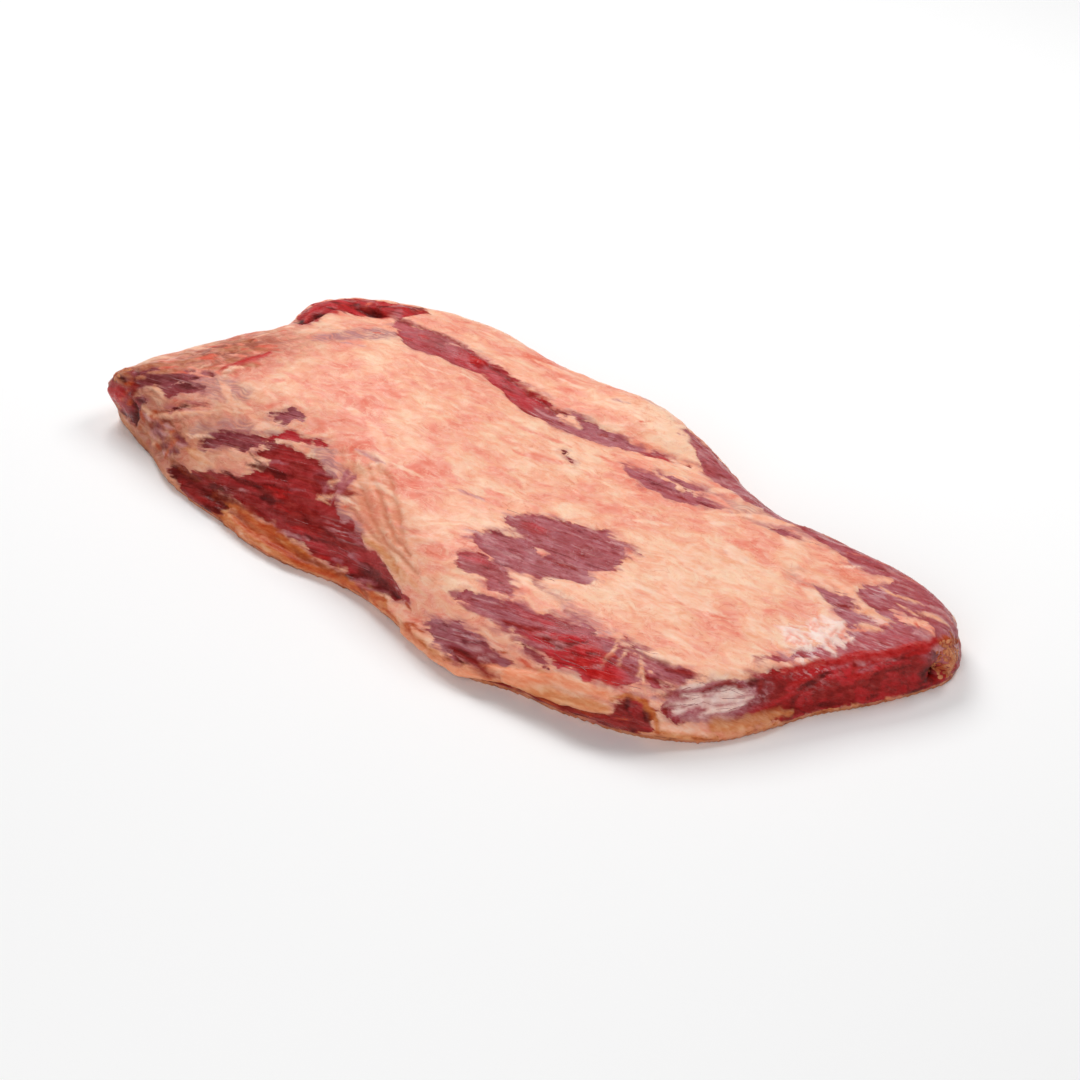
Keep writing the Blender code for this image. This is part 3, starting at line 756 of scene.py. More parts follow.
LANDMARK_STROKES = [
    # tissue, height in mm, half widths, midrib
    ("clay", 0.8, (2, 5, 2), [(-262, -88, 38), (-250, -82, 45), (-236, -76, 50)]),
    ("cherry", 0.8, (3, 5, 3), [(-268, -97, 18), (-262, -99, 24), (-254, -100, 30)]),
    # painted shade in the crease down the side of the tip
    ("umber_crease_shade", -2.0, (1, 2, 1), [(-243, -101, 30), (-238, -102, 22), (-240, -104, 13)]),
    ("cream", 1.1, (0.5, 1.4, 0.5), [(-218, -101, 28), (-195, -97, 38), (-172, -92, 45)]),
    ("cherry", 1.2, (1, 3, 3.6, 2), [(-194, -66), (-188, -56), (-183, -46), (-180, -38)]),
    ("pale", 1.2, (0.8, 1.4, 0.8), [(-190, -66), (-186, -61), (-181, -58)]),
    ("tan", 1.5, (2, 4, 3, 1), [(-122, -120, 9), (-75, -121, 6), (-25, -116, 8)]),
    # painted shade: the dark line where the lip meets the lean
    ("rust", -1.8, (1, 2.2, 1.8, 0.8), [(-124, -120, 16), (-95, -121, 13), (-62, -119, 11), (-28, -115, 13)]),
    ("ember", -0.6, (1, 2.6, 2, 1), [(-118, -121, 12), (-88, -121, 9), (-50, -119, 7), (-10, -115, 9)]),
    # painted shade in the two dents beside the knob
    ("wine", -2.4, (1, 3, 1), [(-200, 5), (-207, 18)]),
    ("wine", -2.2, (1, 2.4, 1), [(-196, 46), (-174, 48)]),
    ("garnet", -1.2, (0.4, 0.9, 0.9, 0.6), [(-174, 48), (-118, 56), (-58, 55), (-24, 56)]),
    ("cherry", 1.5, (3, 3), [(-93, 53), (-88, 54)]),
    ("tan", 1.0, (2, 3, 4, 2), [(30, -120, 6), (80, -122, 7), (130, -115, 14), (178, -102, 21)]),
    ("honey", 2.4, (2, 3, 4.2, 2), [(36, -119, 9), (84, -122, 10), (132, -112, 23), (178, -101, 28)]),
    # painted shadow under the roll of fat
    ("rust", -2.4, (1, 2, 2.2, 1), [(60, -123, 3), (105, -119, 5), (150, -110, 10), (176, -102, 16)]),
    ("garnet", -1.2, (0.6, 2.0, 0.8), [(74, -121, 14), (92, -120, 13), (110, -116, 13)]),
    ("amber", 0.8, (0.6, 1.6, 0.8), [(180, -99, 26), (190, -93, 29), (199, -89, 20), (201, -88, 8)]),
    ("tan", 0.9, (2.4, 4, 3, 1), [(204, -82, 8), (216, -62, 6), (228, -40, 6), (236, -22, 8)]),
    ("cherry", 0.7, (1.5, 3, 3, 2), [(228, -22, 31), (245, 8, 32), (258, 34, 30), (266, 58, 28)]),
    # painted shade in the pit of the cut end
    ("pit_shade", -3.4, (1.5, 3, 1.5), [(271, 56, 16), (273, 58, 9)]),
    ("clay", 1.4, (2, 3, 2), [(273, 66, 20), (275, 70, 12)]),
    ("ember", 0.8, (1.5, 3, 1.5), [(267, 62, 28), (271, 72, 25)]),
]

# %% [markdown]
# ## Walking over the skin
#
# A strand follows the meat round its sides. A straight line would leave the curved skin, and a line
# dropped from above would stretch down the sides. So a strand *walks*: at each stride it turns its
# heading into the plane of the skin, takes one step and drops back on to the skin. The same walk
# makes the paths of the loose threads further down.

# %% Walk the strands over the skin
STRIDE = 2.0
STRAND_SEED = 41


def heading_at(index, direction):
    """Where a strand wants to go at a point of the skin."""
    if direction == "round":
        return np.cross((0.0, 0.0, 1.0), facing[index])
    return FIBRES if direction == "fibres" else np.array([0.0, 0.0, -1.0])


def walk(start, length, direction, turn):
    """A line over the skin that keeps its direction and bends a little."""
    spot, index, path = place[start].copy(), start, []
    for stride in range(max(2, int(length / STRIDE))):
        normal = facing[index]
        ahead = heading_at(index, direction)
        ahead = ahead - normal * (ahead @ normal)
        size = np.linalg.norm(ahead)
        if size < 0.05:
            break
        ahead /= size
        angle = turn[0] + turn[1] * stride * STRIDE
        spot = spot + STRIDE * (math.cos(angle) * ahead + math.sin(angle) * np.cross(normal, ahead))
        index = skin_tree.find(spot)[1]
        spot = spot - facing[index] * ((spot - place[index]) @ facing[index])
        path.append(spot)
    return path


def strand_paths(where, count, lengths, direction, spread, dice, curl=0.012):
    """Lines of random length, turn and curl (radians for each mm) that start inside an area."""
    inside = np.flatnonzero(area[where])
    for start in dice.choice(inside, size=count):
        half = 0.5 * dice.uniform(*lengths)
        lean_over = math.radians(spread) * dice.normal(0.0, 0.5)
        bend = dice.normal(0.0, curl)
        ahead = walk(start, half, direction, (lean_over, bend))
        back = walk(start, half, direction, (lean_over + math.pi, bend))
        yield np.array(back[::-1] + [place[start]] + ahead)


def every_stroke():
    """Tissue, height, half widths and path of each stroke, in the order they are laid."""
    dice = np.random.default_rng(STRAND_SEED)
    for where, tissue, count, lengths, thickness, rise, direction, spread in STRANDS:
        for path in strand_paths(where, count, lengths, direction, spread, dice):
            middle = dice.uniform(*thickness)
            yield tissue, rise, (0.2 * middle, middle, 0.8 * middle, 0.15 * middle), path
    for tissue, rise, halves, points in LANDMARK_STROKES:
        yield tissue, rise, halves, midrib(points)


# %% [markdown]
# ## Laying one strand over another
#
# Strands cross, and the one on top hides part of those below. A picture painted on the meat could
# show that, but it would need the skin cut open and laid flat. Here each point of the skin keeps a
# colour, how much of it shows and a height, and every strand changes the points near it in turn.

# %% Lay the strands
BARELY = 0.001
SKIRT = 6.0  # mm round a strand where its colour is already known


def lay_strokes():
    """Lays the strokes over each other: colour, how much of it, and height."""
    colour = np.tile(TISSUES["cream"], (len(place), 1)).astype(float)
    amount, owned, relief = np.zeros(len(place)), np.zeros(len(place)), np.zeros(len(place))
    count = 0
    for tissue, rise, halves, path in every_stroke():
        distance = leaf(path, halves, wander=0.45)[0]
        near = np.flatnonzero(distance > -SKIRT)
        depth = distance[near]
        blur = 0.2 + 0.45 * max(halves)
        cover = ease(depth, -1.0 - blur, 0.4 + blur)
        # a barely visible skirt keeps the colour pure at the stroke's edge
        claim = np.maximum(cover, BARELY * ease(depth, -SKIRT, -1.0))
        left = owned[near] * (1.0 - claim)
        total = np.maximum(claim + left, 1e-9)
        colour[near] = (np.outer(claim, TISSUES[tissue]) + colour[near] * left[:, None]) / total[:, None]
        owned[near] = claim + left
        amount[near] = cover + amount[near] * (1.0 - cover)
        raised = ease(depth, -1.6, 0.5 + 0.5 * max(halves)) * (rise != 0)
        relief[near] += (rise - 0.5 * relief[near]) * raised
        count += 1
    return colour, amount, relief, count


stroke_colour, stroke_amount, stroke_relief, stroke_count = lay_strokes()
print("strokes:", stroke_count, "on", int((stroke_amount > 0.5).sum()), "points")

# %% [markdown]
# ## Sculpting
#
# Now the skin moves. Everything is measured in millimetres along the normal, small enough for the
# piece to keep the frame's size: broad swells, lumps of fat, fine ridges along the fibres where
# lean is bare, a step down into every window with a torn rim round it, the folds and the strands.
# Last come the few lumps, dents and bends that belong to one spot, such as the pit in the cut end.

# %% Move the skin
RIM = 0.45  # mm
WINDOW_DEPTH = 0.9  # mm
FOLD_DEPTH = 2.3  # mm

bare = ease(lean, -1.0, 2.0)
swell = 0.9 * uneven(place, 58.0, seed=1) + 0.45 * uneven(place, 24.0, seed=2)
curls = grain + 6.0 * np.stack([uneven(place, 18.0, seed=n) for n in (11, 12, 13)], axis=1)
lumps = 0.40 * uneven(place, 10.0, seed=3) + 0.45 * uneven(curls, 5.0, seed=4, stretch=(2.6, 1.0, 1.3))
lumps *= 1.0 - 0.75 * bare
fibres = 0.30 * uneven(grain, 3.2, seed=5, stretch=(9.0, 1.0, 1.4)) * bare
rim = RIM * np.exp(-((lean + 1.8) / 1.6) ** 2) * (0.6 + 0.8 * uneven(place, 12.0, seed=6))
step_down = -WINDOW_DEPTH * ease(lean, -1.2, 1.6)
folds = -FOLD_DEPTH * fold * (0.8 + 0.4 * uneven(place, 10.0, seed=7))
lift = swell + lumps + fibres + rim + step_down + folds + stroke_relief

LUMPS = [
    # height in mm (minus is a dent), then x, y, half length, half width, turn and height above the table
    (2.6, 274, 66, 7, 6, 0, 17), (2.0, 272, 76, 6, 6, 0, 10), (1.6, 266, 70, 6, 6, 0, 26),
    (-5.0, 273, 57, 4, 5, 0, 11), (2.2, 270, 50, 5, 7, 0, 24), (1.5, 262, 82, 6, 6, 0, 22),
    (1.8, 222, -56, 26, 6, 62, 6), (-2.2, 248, -4, 12, 6, 60, 5), (1.6, 8, -117, 12, 6, 0, 8),
    (1.2, 200, -76, 6, 6, 0, 24), (-1.4, 190, -96, 9, 9, 0, 14), (1.5, -88, 53, 4, 4, 0),
    (1.2, 226, 62, 14, 5, 20, 36), (1.0, 214, 56, 8, 5, 40, 37), (-1.2, 202, -42, 10, 3, -10),
    (-3.0, -205, 15, 6, 14, -25), (-2.5, -184, 48, 13, 3, 5), (1.6, -196, 26, 6, 10, -20),
    (1.5, -170, 62, 8, 7, 0), (1.2, -212, 42, 7, 7, 0),
]
for rise, *spot in LUMPS:
    lift += rise * dab(*spot)

settled = ease(height, 0.0, 9.0)
lift *= 0.25 + 0.75 * settled
lift[on_table] = 0.0
moved = place + facing * lift[:, None]
NUDGES = [
    # push in mm, then the spot that takes it
    ((2.0, 0.5, -2.5), -266, -86, 16, 16, 0, 42), ((-6.0, -1.0, 0.0), -268, -98, 9, 9, 0, 22),
    ((5.0, 3.0, 0.0), -262, -104, 22, 12, 0, 4), ((4.0, 4.0, 0.0), -236, -112, 30, 10, 0, 6),
    ((3.0, 0.0, -3.0), -226, 6, 14, 8, 0, 50),
]
for push, *spot in NUDGES:
    moved += dab(*spot)[:, None] * np.array(push)
underside = 0.5 * uneven(place, 40.0, seed=8) + 0.3 * uneven(place, 9.0, seed=9)
moved[on_table, 2] = underside[on_table]
moved[:, 2] = np.maximum(moved[:, 2], 0.0)
meat.data.vertices.foreach_set("co", (moved * MM).ravel())
meat.data.update()
print("skin moved by", round(float(lift.min()), 2), "to", round(float(lift.max()), 2), "mm")

# %% [markdown]
# ## Marks the material can read
#
# A named attribute stores one number for each point, and an Attribute node hands it to the
# material. The distance to the windows goes in as it is, in millimetres, so the material can add
# its own fine fraying to it.


# %% Write the marks
def keep_mark(mesh, name, values):
    """Stores one number for each point of the mesh."""
    mark = mesh.attributes.new(name, "FLOAT", "POINT")
    mark.data.foreach_set("value", np.asarray(values, dtype=np.float32))


MARKS = {
    "lean": lean, "square": square, "silver": look[:, 0], "fresh": look[:, 1], "deep": look[:, 2],
    "fold": fold, "veil": veil, "blush": blush, "tallow": tallow, "pale": pale, "painted_shade": painted_shade,
    "darker_brown": darker_brown, "painted_highlight": painted_highlight, "strokes": stroke_amount,
}
for name, values in MARKS.items():
    keep_mark(meat.data, name, values)
painted = meat.data.attributes.new("painted", "FLOAT_COLOR", "POINT")
painted.data.foreach_set("color", np.column_stack([stroke_colour, np.ones(len(place))]).ravel())
print("marks:", ", ".join(MARKS))

# %% [markdown]
# ## Small words for the materials
#
# A material is a graph of nodes. These helpers keep the graph readable: each makes one node and
# returns its output, so that a finish reads like a recipe.


# %% Node helpers
class Recipe:
    """A node tree with short words for its commonest nodes."""

    def __init__(self, name):
        self.material = bpy.data.materials.new(name)
        self.material.use_nodes = True
        self.tree = self.material.node_tree
        self.shader = self.tree.nodes["Principled BSDF"]

    def node(self, kind, **settings):
        made = self.tree.nodes.new(kind)
        for key, value in settings.items():
            setattr(made, key, value)
        return made

    def put(self, socket, value):
        """Links an output, or sets a plain number or colour."""
        if isinstance(value, bpy.types.NodeSocket):
            self.tree.links.new(value, socket)
        elif isinstance(value, (tuple, list)) and len(value) == 3 and socket.type == "RGBA":
            socket.default_value = (*value, 1.0)
        else:
            socket.default_value = value

    def mark(self, name):
        return self.node("ShaderNodeAttribute", attribute_name=name).outputs["Fac"]

    def place(self):
        """The point in millimetres."""
        where = self.node("ShaderNodeTexCoord").outputs["Object"]
        scaled = self.node("ShaderNodeVectorMath", operation="SCALE")
        self.put(scaled.inputs[0], where)
        scaled.inputs["Scale"].default_value = 1.0 / MM
        return scaled.outputs[0]

    def along_grain(self, place):
        """The point as distances along, across and through the fibres."""
        parts = []
        for direction in (ALONG, ACROSS, THROUGH):
            dot = self.node("ShaderNodeVectorMath", operation="DOT_PRODUCT")
            self.put(dot.inputs[0], place)
            dot.inputs[1].default_value = tuple(float(d) for d in direction)
            parts.append(dot.outputs["Value"])
        joined = self.node("ShaderNodeCombineXYZ")
        for socket, part in zip(joined.inputs, parts):
            self.put(socket, part)
        return joined.outputs[0]

    def noise_node(self, vector, size, detail):
        """A noise texture; its size in mm is one number, or one for each direction."""
        scaled = self.node("ShaderNodeVectorMath", operation="DIVIDE")
        self.put(scaled.inputs[0], vector)
        scaled.inputs[1].default_value = np.broadcast_to(size, 3)
        made = self.node("ShaderNodeTexNoise")
        self.put(made.inputs["Vector"], scaled.outputs[0])
        made.inputs["Scale"].default_value = 1.0
        made.inputs["Detail"].default_value = detail
        return made

    def noise(self, vector, size, detail=3.0, roughness=0.5, distortion=0.0):
        """Soft random value, about 0.5 on average."""
        made = self.noise_node(vector, size, detail)
        made.inputs["Roughness"].default_value = roughness
        made.inputs["Distortion"].default_value = distortion
        return made.outputs["Fac"]

    def shifted(self, value, reach, around):
        """A number or mark moved up and down by a soft random value."""
        return self.math("MULTIPLY_ADD", self.math("SUBTRACT", value, 0.5), reach, around)

    def math(self, operation, a, b=0.0, c=None):
        made = self.node("ShaderNodeMath", operation=operation)
        self.put(made.inputs[0], a)
        self.put(made.inputs[1], b)
        if c is not None:
            self.put(made.inputs[2], c)
        return made.outputs[0]

    def times(self, a, b):
        return self.math("MULTIPLY", a, b)

    def plus(self, a, b):
        return self.math("ADD", a, b)

    def ease(self, value, start, stop, low=0.0, high=1.0):
        """A smooth step of a value from start to stop."""
        made = self.node("ShaderNodeMapRange", interpolation_type="SMOOTHSTEP")
        self.put(made.inputs["Value"], value)
        made.inputs["From Min"].default_value = start
        made.inputs["From Max"].default_value = stop
        made.inputs["To Min"].default_value = low
        made.inputs["To Max"].default_value = high
        return made.outputs["Result"]

    def ramp(self, value, stops):
        """Colours laid along a value."""
        made = self.node("ShaderNodeValToRGB")
        self.put(made.inputs["Fac"], value)
        band = made.color_ramp
        while len(band.elements) < len(stops):
            band.elements.new(0.5)
        for element, (position, colour) in zip(band.elements, stops):
            element.position = position
            element.color = (*colour, 1.0)
        return made.outputs["Color"]

    def bent(self, vector, size, reach):
        """The coordinates pushed about, so that straight streaks curl."""
        push = self.noise_node(vector, size, detail=1.0)
        moved = self.node("ShaderNodeVectorMath", operation="MULTIPLY_ADD")
        self.put(moved.inputs[0], push.outputs["Color"])
        moved.inputs[1].default_value = (reach, reach, reach)
        self.put(moved.inputs[2], vector)
        return moved.outputs[0]

    def thin_line(self, value, width):
        """1 where a soft random value passes its middle: a thin wandering line."""
        return self.ease(self.math("ABSOLUTE", self.math("SUBTRACT", value, 0.5)), width, 0.0)

    def mix(self, amount, a, b):
        made = self.node("ShaderNodeMix", data_type="RGBA")
        self.put(made.inputs["Factor"], amount)
        self.put(made.inputs[6], a)
        self.put(made.inputs[7], b)
        return made.outputs[2]

    def over(self, colour, tint, amount, strength):
        """A tint laid over a colour."""
        return self.mix(self.times(amount, strength), colour, tint)

    def deepened(self, colour, amount):
        """A colour raised to a power: above 1 it is deeper and redder, below 1 paler."""
        made = self.node("ShaderNodeGamma")
        self.put(made.inputs["Color"], colour)
        self.put(made.inputs["Gamma"], amount)
        return made.outputs[0]

    def blend(self, amount, a, b):
        made = self.node("ShaderNodeMix", data_type="FLOAT")
        self.put(made.inputs["Factor"], amount)
        self.put(made.inputs[2], a)
        self.put(made.inputs[3], b)
        return made.outputs[0]

    def bump(self, height, distance, strength=1.0, under=None):
        made = self.node("ShaderNodeBump")
        made.inputs["Strength"].default_value = strength
        made.inputs["Distance"].default_value = distance
        self.put(made.inputs["Height"], height)
        if under is not None:
            self.put(made.inputs["Normal"], under)
        return made.outputs["Normal"]

    def moist(self, specular, depth):
        """Light goes a little way into flesh, and red goes deepest; depth in mm."""
        self.shader.inputs["Specular IOR Level"].default_value = specular
        self.shader.inputs["Subsurface Weight"].default_value = 0.12
        self.shader.inputs["Subsurface Radius"].default_value = (1.0, 0.35, 0.2)
        self.shader.inputs["Subsurface Scale"].default_value = depth * MM


# %% [markdown]
# ## The colour of fat
#
# The ground is a warm cream. Three things break it: broad patches where blood has tinted it pink,
# fine wandering salmon lines where small vessels and torn fibres lie, and pale flecks where the fat
# stands proud and dries. The dabs laid before pull it to salmon, tan, pale or a darker brown. The
# grooves of the folds get a salmon brown that is partly their own tint and partly painted shade,
# painted shade darkens the hollows, and painted highlights turn it to a wet white.

# %% Fat
FAT_PALE = (0.94, 0.60, 0.42)
FAT_CREAM = (0.90, 0.445, 0.295)
FAT_PINK = (0.87, 0.345, 0.25)
FAT_SALMON = (0.80, 0.21, 0.135)
FAT_TAN = (0.60, 0.185, 0.050)
FAT_RUST = (0.34, 0.055, 0.012)
# a darker brown for fat
FAT_DARKER_BROWN = (0.31, 0.066, 0.034)
FAT_VESSEL = (0.66, 0.15, 0.08)
# the fold grooves' colour: partly their own salmon brown, partly painted shade
FAT_FOLD_SHADE = (0.66, 0.19, 0.09)
# the colour of a painted highlight on fat
FAT_HIGHLIGHT = (0.96, 0.78, 0.70)
# the colour of painted shade on fat
FAT_SHADE = (0.16, 0.03, 0.015)
VEIL_GREY = (0.47, 0.20, 0.20)


def fat_colour(r, place, grain):
    """The colour of fat, from the marks and the recipe's own noise."""
    patches = r.noise(place, (34.0, 26.0, 28.0), detail=2.0)
    mottle = r.noise(grain, (17.0, 9.5, 11.0), detail=2.5, distortion=0.8)
    calm = r.math("MULTIPLY_ADD", mottle, 0.62, 0.175)
    level = r.shifted(patches, 0.80, calm)
    level = r.math("MULTIPLY_ADD", r.mark("pale"), 0.16, level)
    level = r.math("MULTIPLY_ADD", r.mark("blush"), -0.16, level)
    colour = r.ramp(level, [
        (0.22, FAT_SALMON), (0.38, FAT_PINK), (0.53, FAT_CREAM), (0.68, FAT_PALE)])

    region = r.ease(patches, 0.60, 0.40, 0.25, 1.0)
    streaks = r.ease(r.noise(grain, (13.0, 4.6, 5.6), detail=2.0, distortion=1.0), 0.55, 0.74)
    colour = r.over(colour, FAT_SALMON, streaks, r.times(region, 0.30))
    strands = r.thin_line(r.noise(grain, (20.0, 8.0, 10.0)), 0.018)
    colour = r.over(colour, FAT_VESSEL, strands, r.times(region, 0.42))
    milky = r.ease(r.noise(grain, (12.0, 5.6, 6.6), detail=2.0, distortion=0.6), 0.54, 0.70)
    colour = r.over(colour, FAT_PALE, milky, 0.40)
    wisps = r.thin_line(r.noise(grain, (15.0, 7.0, 9.0), detail=4.0, roughness=0.6), 0.022)
    colour = r.over(colour, FAT_PALE, wisps, 0.40)
    curls = r.thin_line(r.noise(grain, (10.0, 6.0, 8.0), distortion=1.2), 0.016)
    colour = r.over(colour, FAT_SALMON, curls, 0.30)
    # painted highlight: fat turned a wet white in broken patches where that mark is
    shine = r.ease(r.noise(grain, (9.0, 4.0, 5.0)), 0.44, 0.58)
    colour = r.over(colour, FAT_HIGHLIGHT, r.mark("painted_highlight"), shine)

    tan = r.noise(grain, (12.0, 5.0, 6.0), detail=4.0, roughness=0.65)
    # fat turned a darker brown where that mark is
    colour = r.over(colour, FAT_DARKER_BROWN, r.mark("darker_brown"), r.ease(tan, 0.62, 0.40, 0.45, 1.0))
    colour = r.over(colour, FAT_TAN, r.mark("tallow"), r.ease(tan, 0.36, 0.58, 0.50, 1.0))
    rust = r.times(r.mark("tallow"), r.ease(tan, 0.55, 0.64))
    colour = r.over(colour, FAT_RUST, rust, 0.85)
    silk = r.noise(grain, (26.0, 1.8, 3.0))
    colour = r.over(colour, VEIL_GREY, r.mark("veil"), r.ease(silk, 0.36, 0.60, 0.35, 0.95))
    # the fold grooves: a salmon brown, partly their own tint and partly painted shade
    colour = r.over(colour, FAT_FOLD_SHADE, r.mark("fold"), 0.75)
    # painted shade: fat darkened in the pit, the dents and the creases
    return r.over(colour, FAT_SHADE, r.mark("painted_shade"), 0.7)


# %% [markdown]
# ## The colour of lean
#
# Bare muscle is dark red, fresh cuts are bright, and silverskin turns both purple, with white
# streaks along the fibres where it is thicker. The deep look darkens it, partly its own dark red and
# partly painted shade. A painted highlight lays a pale wet lace along the fibres, and painted shade
# turns the lean nearly black in the hollows.

# %% Lean
LEAN_RED = (0.33, 0.016, 0.008)
LEAN_DARK = (0.075, 0.005, 0.003)
LEAN_FRESH = (0.58, 0.020, 0.026)
SILVER_PURPLE = (0.44, 0.125, 0.145)
SILVER_WHITE = (0.70, 0.38, 0.37)
# the colour of a painted highlight on lean
SILVER_HIGHLIGHT = (0.80, 0.55, 0.56)
# the colour of painted shade on lean
LEAN_SHADE = (0.05, 0.004, 0.003)


def lean_colour(r, place, grain):
    """The colour of bare meat, from its look and the fibres."""
    fibres = r.noise(grain, (36.0, 2.4, 3.4), detail=4.0, roughness=0.6)
    patches = r.noise(grain, (24.0, 9.0, 9.0))
    fresh = r.times(r.mark("fresh"), r.ease(patches, 0.32, 0.62, 0.6, 1.5))
    colour = r.mix(fresh, LEAN_RED, LEAN_FRESH)
    silver = r.times(r.mark("silver"), r.ease(fibres, 0.32, 0.60, 0.7, 1.3))
    silver = r.times(silver, r.ease(patches, 0.30, 0.55, 0.75, 1.2))
    colour = r.mix(silver, colour, SILVER_PURPLE)
    # deep: the lean's own dark red, and painted shade where the deep dabs sit in hollows and low on the front
    deep = r.times(r.mark("deep"), r.ease(patches, 0.62, 0.36, 0.4, 1.3))
    colour = r.mix(deep, colour, LEAN_DARK)
    colour = r.over(colour, LEAN_DARK, r.ease(fibres, 0.44, 0.34), 0.40)
    streaks = r.ease(r.noise(grain, (34.0, 2.6, 3.6), roughness=0.55), 0.56, 0.72)
    amount = r.math("MULTIPLY_ADD", r.mark("silver"), 0.55, 0.06)
    colour = r.over(colour, SILVER_WHITE, streaks, amount)
    # painted highlight: pale wet lace along the fibres where that mark is
    highlight_lace = r.ease(r.noise(grain, (12.0, 2.2, 3.0), roughness=0.6), 0.48, 0.60)
    colour = r.over(colour, SILVER_HIGHLIGHT, highlight_lace, r.times(r.mark("painted_highlight"), 0.85))
    # painted shade: lean turned nearly black in the same hollows
    return r.over(colour, LEAN_SHADE, r.mark("painted_shade"), 0.8)


# %% [markdown]
# ## One skin, two tissues
#
# The edge between fat and lean is torn, not cut: along the fibres it is nearly straight, and across
# them it frays into fingers. So the stored distance gets three kinds of noise before the step: a
# small one and a thready one everywhere, and long fingers only where the edge is square to the grain.

# %% The meat's material
def torn_edge(r, place, grain):
    """Millimetres inside bare lean, with a wandering and frayed edge."""
    small = r.noise(place, 7.0)
    fingers = r.noise(grain, (40.0, 6.0, 7.0), roughness=0.55)
    threads = r.noise(grain, (15.0, 2.4, 3.2), roughness=0.6)
    edge = r.shifted(small, 4.4, r.mark("lean"))
    edge = r.shifted(threads, 6.5, edge)
    reach = r.times(r.math("POWER", r.mark("square"), 2.0), 18.0)
    return r.shifted(fingers, reach, edge)


def brushed(r, grain):
    """How much of a stroke shows: its edge is broken by the fibres."""
    bristles = r.noise(grain, (6.0, 2.6, 3.2), roughness=0.6)
    amount = r.shifted(bristles, 0.9, r.mark("strokes"))
    return r.times(r.ease(amount, 0.15, 0.95), 0.92)


def stroke_tint(r, grain):
    """The stroke's colour, a little uneven."""
    broad = r.noise(grain, (11.0, 4.5, 5.5), detail=4.0, roughness=0.65, distortion=0.5)
    paint = r.node("ShaderNodeAttribute", attribute_name="painted").outputs["Color"]
    return r.deepened(paint, r.ease(broad, 0.30, 0.70, 1.28, 0.84))


def raw_meat():
    """Fat and lean in one material."""
    r = Recipe("raw_meat")
    place = r.place()
    grain = r.along_grain(place)
    bent = r.bent(grain, size=20.0, reach=16.0)
    inside = torn_edge(r, place, grain)
    softness = r.ease(r.noise(place, 16.0), 0.40, 0.62, 0.7, 3.2)
    torn = r.ease(r.math("DIVIDE", inside, softness), -0.7, 0.7)
    lean = lean_colour(r, place, grain)
    showing = r.ease(r.noise(grain, (20.0, 6.0, 8.0)), 0.42, 0.64)
    thin = r.times(r.ease(inside, -5.5, 0.0), showing)
    fat = r.over(fat_colour(r, place, bent), SILVER_PURPLE, thin, 0.6)
    colour = r.mix(torn, fat, lean)
    colour = r.mix(brushed(r, grain), colour, stroke_tint(r, grain))
    flecks = r.noise(bent, (7.0, 4.0, 5.0))
    colour = r.deepened(colour, r.ease(flecks, 0.32, 0.68, 1.14, 0.92))
    r.put(r.shader.inputs["Base Color"], colour)
    gloss = r.noise(place, 12.0)
    rough = r.blend(torn, r.ease(gloss, 0.3, 0.7, 0.34, 0.56), r.ease(gloss, 0.3, 0.7, 0.20, 0.42))
    r.put(r.shader.inputs["Roughness"], rough)
    grit = r.noise(place, 3.4, detail=2.0)
    lobes = r.noise(place, 7.5, detail=2.0)
    threads = r.noise(grain, (26.0, 1.3, 2.0))
    soft = r.bump(r.plus(grit, r.times(lobes, 1.6)), 0.9 * MM, strength=0.30)
    relief = r.bump(r.times(threads, torn), 0.8 * MM, strength=0.55, under=soft)
    r.put(r.shader.inputs["Normal"], relief)
    r.moist(specular=0.13, depth=3.0)
    r.shader.inputs["Coat Weight"].default_value = 0.03
    r.shader.inputs["Coat Roughness"].default_value = 0.22
    return r.material


meat.data.materials.clear()
meat.data.materials.append(raw_meat())
meat.data.shade_smooth()
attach(meat, "root")
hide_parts("brisket")
print("nodes in the meat's material:", len(meat.data.materials[0].node_tree.nodes))

# %% [markdown]
# ## Pieces that Geometry Nodes grow
#
# Some details are too fine for the skin and stand off it: threads of silverskin that were torn
# loose, and lobules, the grains that fat is made of, where the knife opened them. Both repeat one
# small shape, along a path or over an area, which is what Geometry Nodes do best. The trees are
# built here, their sizes are named inputs, and the evaluated result is kept as a plain mesh, so that
# nothing depends on the modifier afterwards.


# %% A tree, its inputs and its result
def new_tree(name, sizes):
    """An empty tree with geometry in and out, number inputs and a finish."""
    tree = bpy.data.node_groups.new(name, "GeometryNodeTree")
    tree.interface.new_socket("Geometry", in_out="INPUT", socket_type="NodeSocketGeometry")
    for label in sizes:
        tree.interface.new_socket(label, in_out="INPUT", socket_type="NodeSocketFloat")
    tree.interface.new_socket("Finish", in_out="INPUT", socket_type="NodeSocketMaterial")
    tree.interface.new_socket("Geometry", in_out="OUTPUT", socket_type="NodeSocketGeometry")
    return tree, tree.nodes.new("NodeGroupInput"), tree.nodes.new("NodeGroupOutput")


def grow(tree, kind, fed, **settings):
    """Adds a node to the tree; each input it is fed gets a link or a plain value."""
    made = tree.nodes.new(kind)
    for key, value in settings.items():
        setattr(made, key, value)
    for socket, value in fed.items():
        if isinstance(value, bpy.types.NodeSocket):
            tree.links.new(value, made.inputs[socket])
        else:
            made.inputs[socket].default_value = value
    return made.outputs


def close_tree(tree, start, end, grown):
    """Realize, smooth and finish: every tree ends in the same way."""
    real = grow(tree, "GeometryNodeRealizeInstances", {"Geometry": grown})
    smooth = grow(tree, "GeometryNodeSetShadeSmooth", {"Geometry": real[0]})
    finish = grow(tree, "GeometryNodeSetMaterial", {
        "Geometry": smooth[0], "Material": start.outputs["Finish"]})
    tree.links.new(finish[0], end.inputs[0])
    return tree


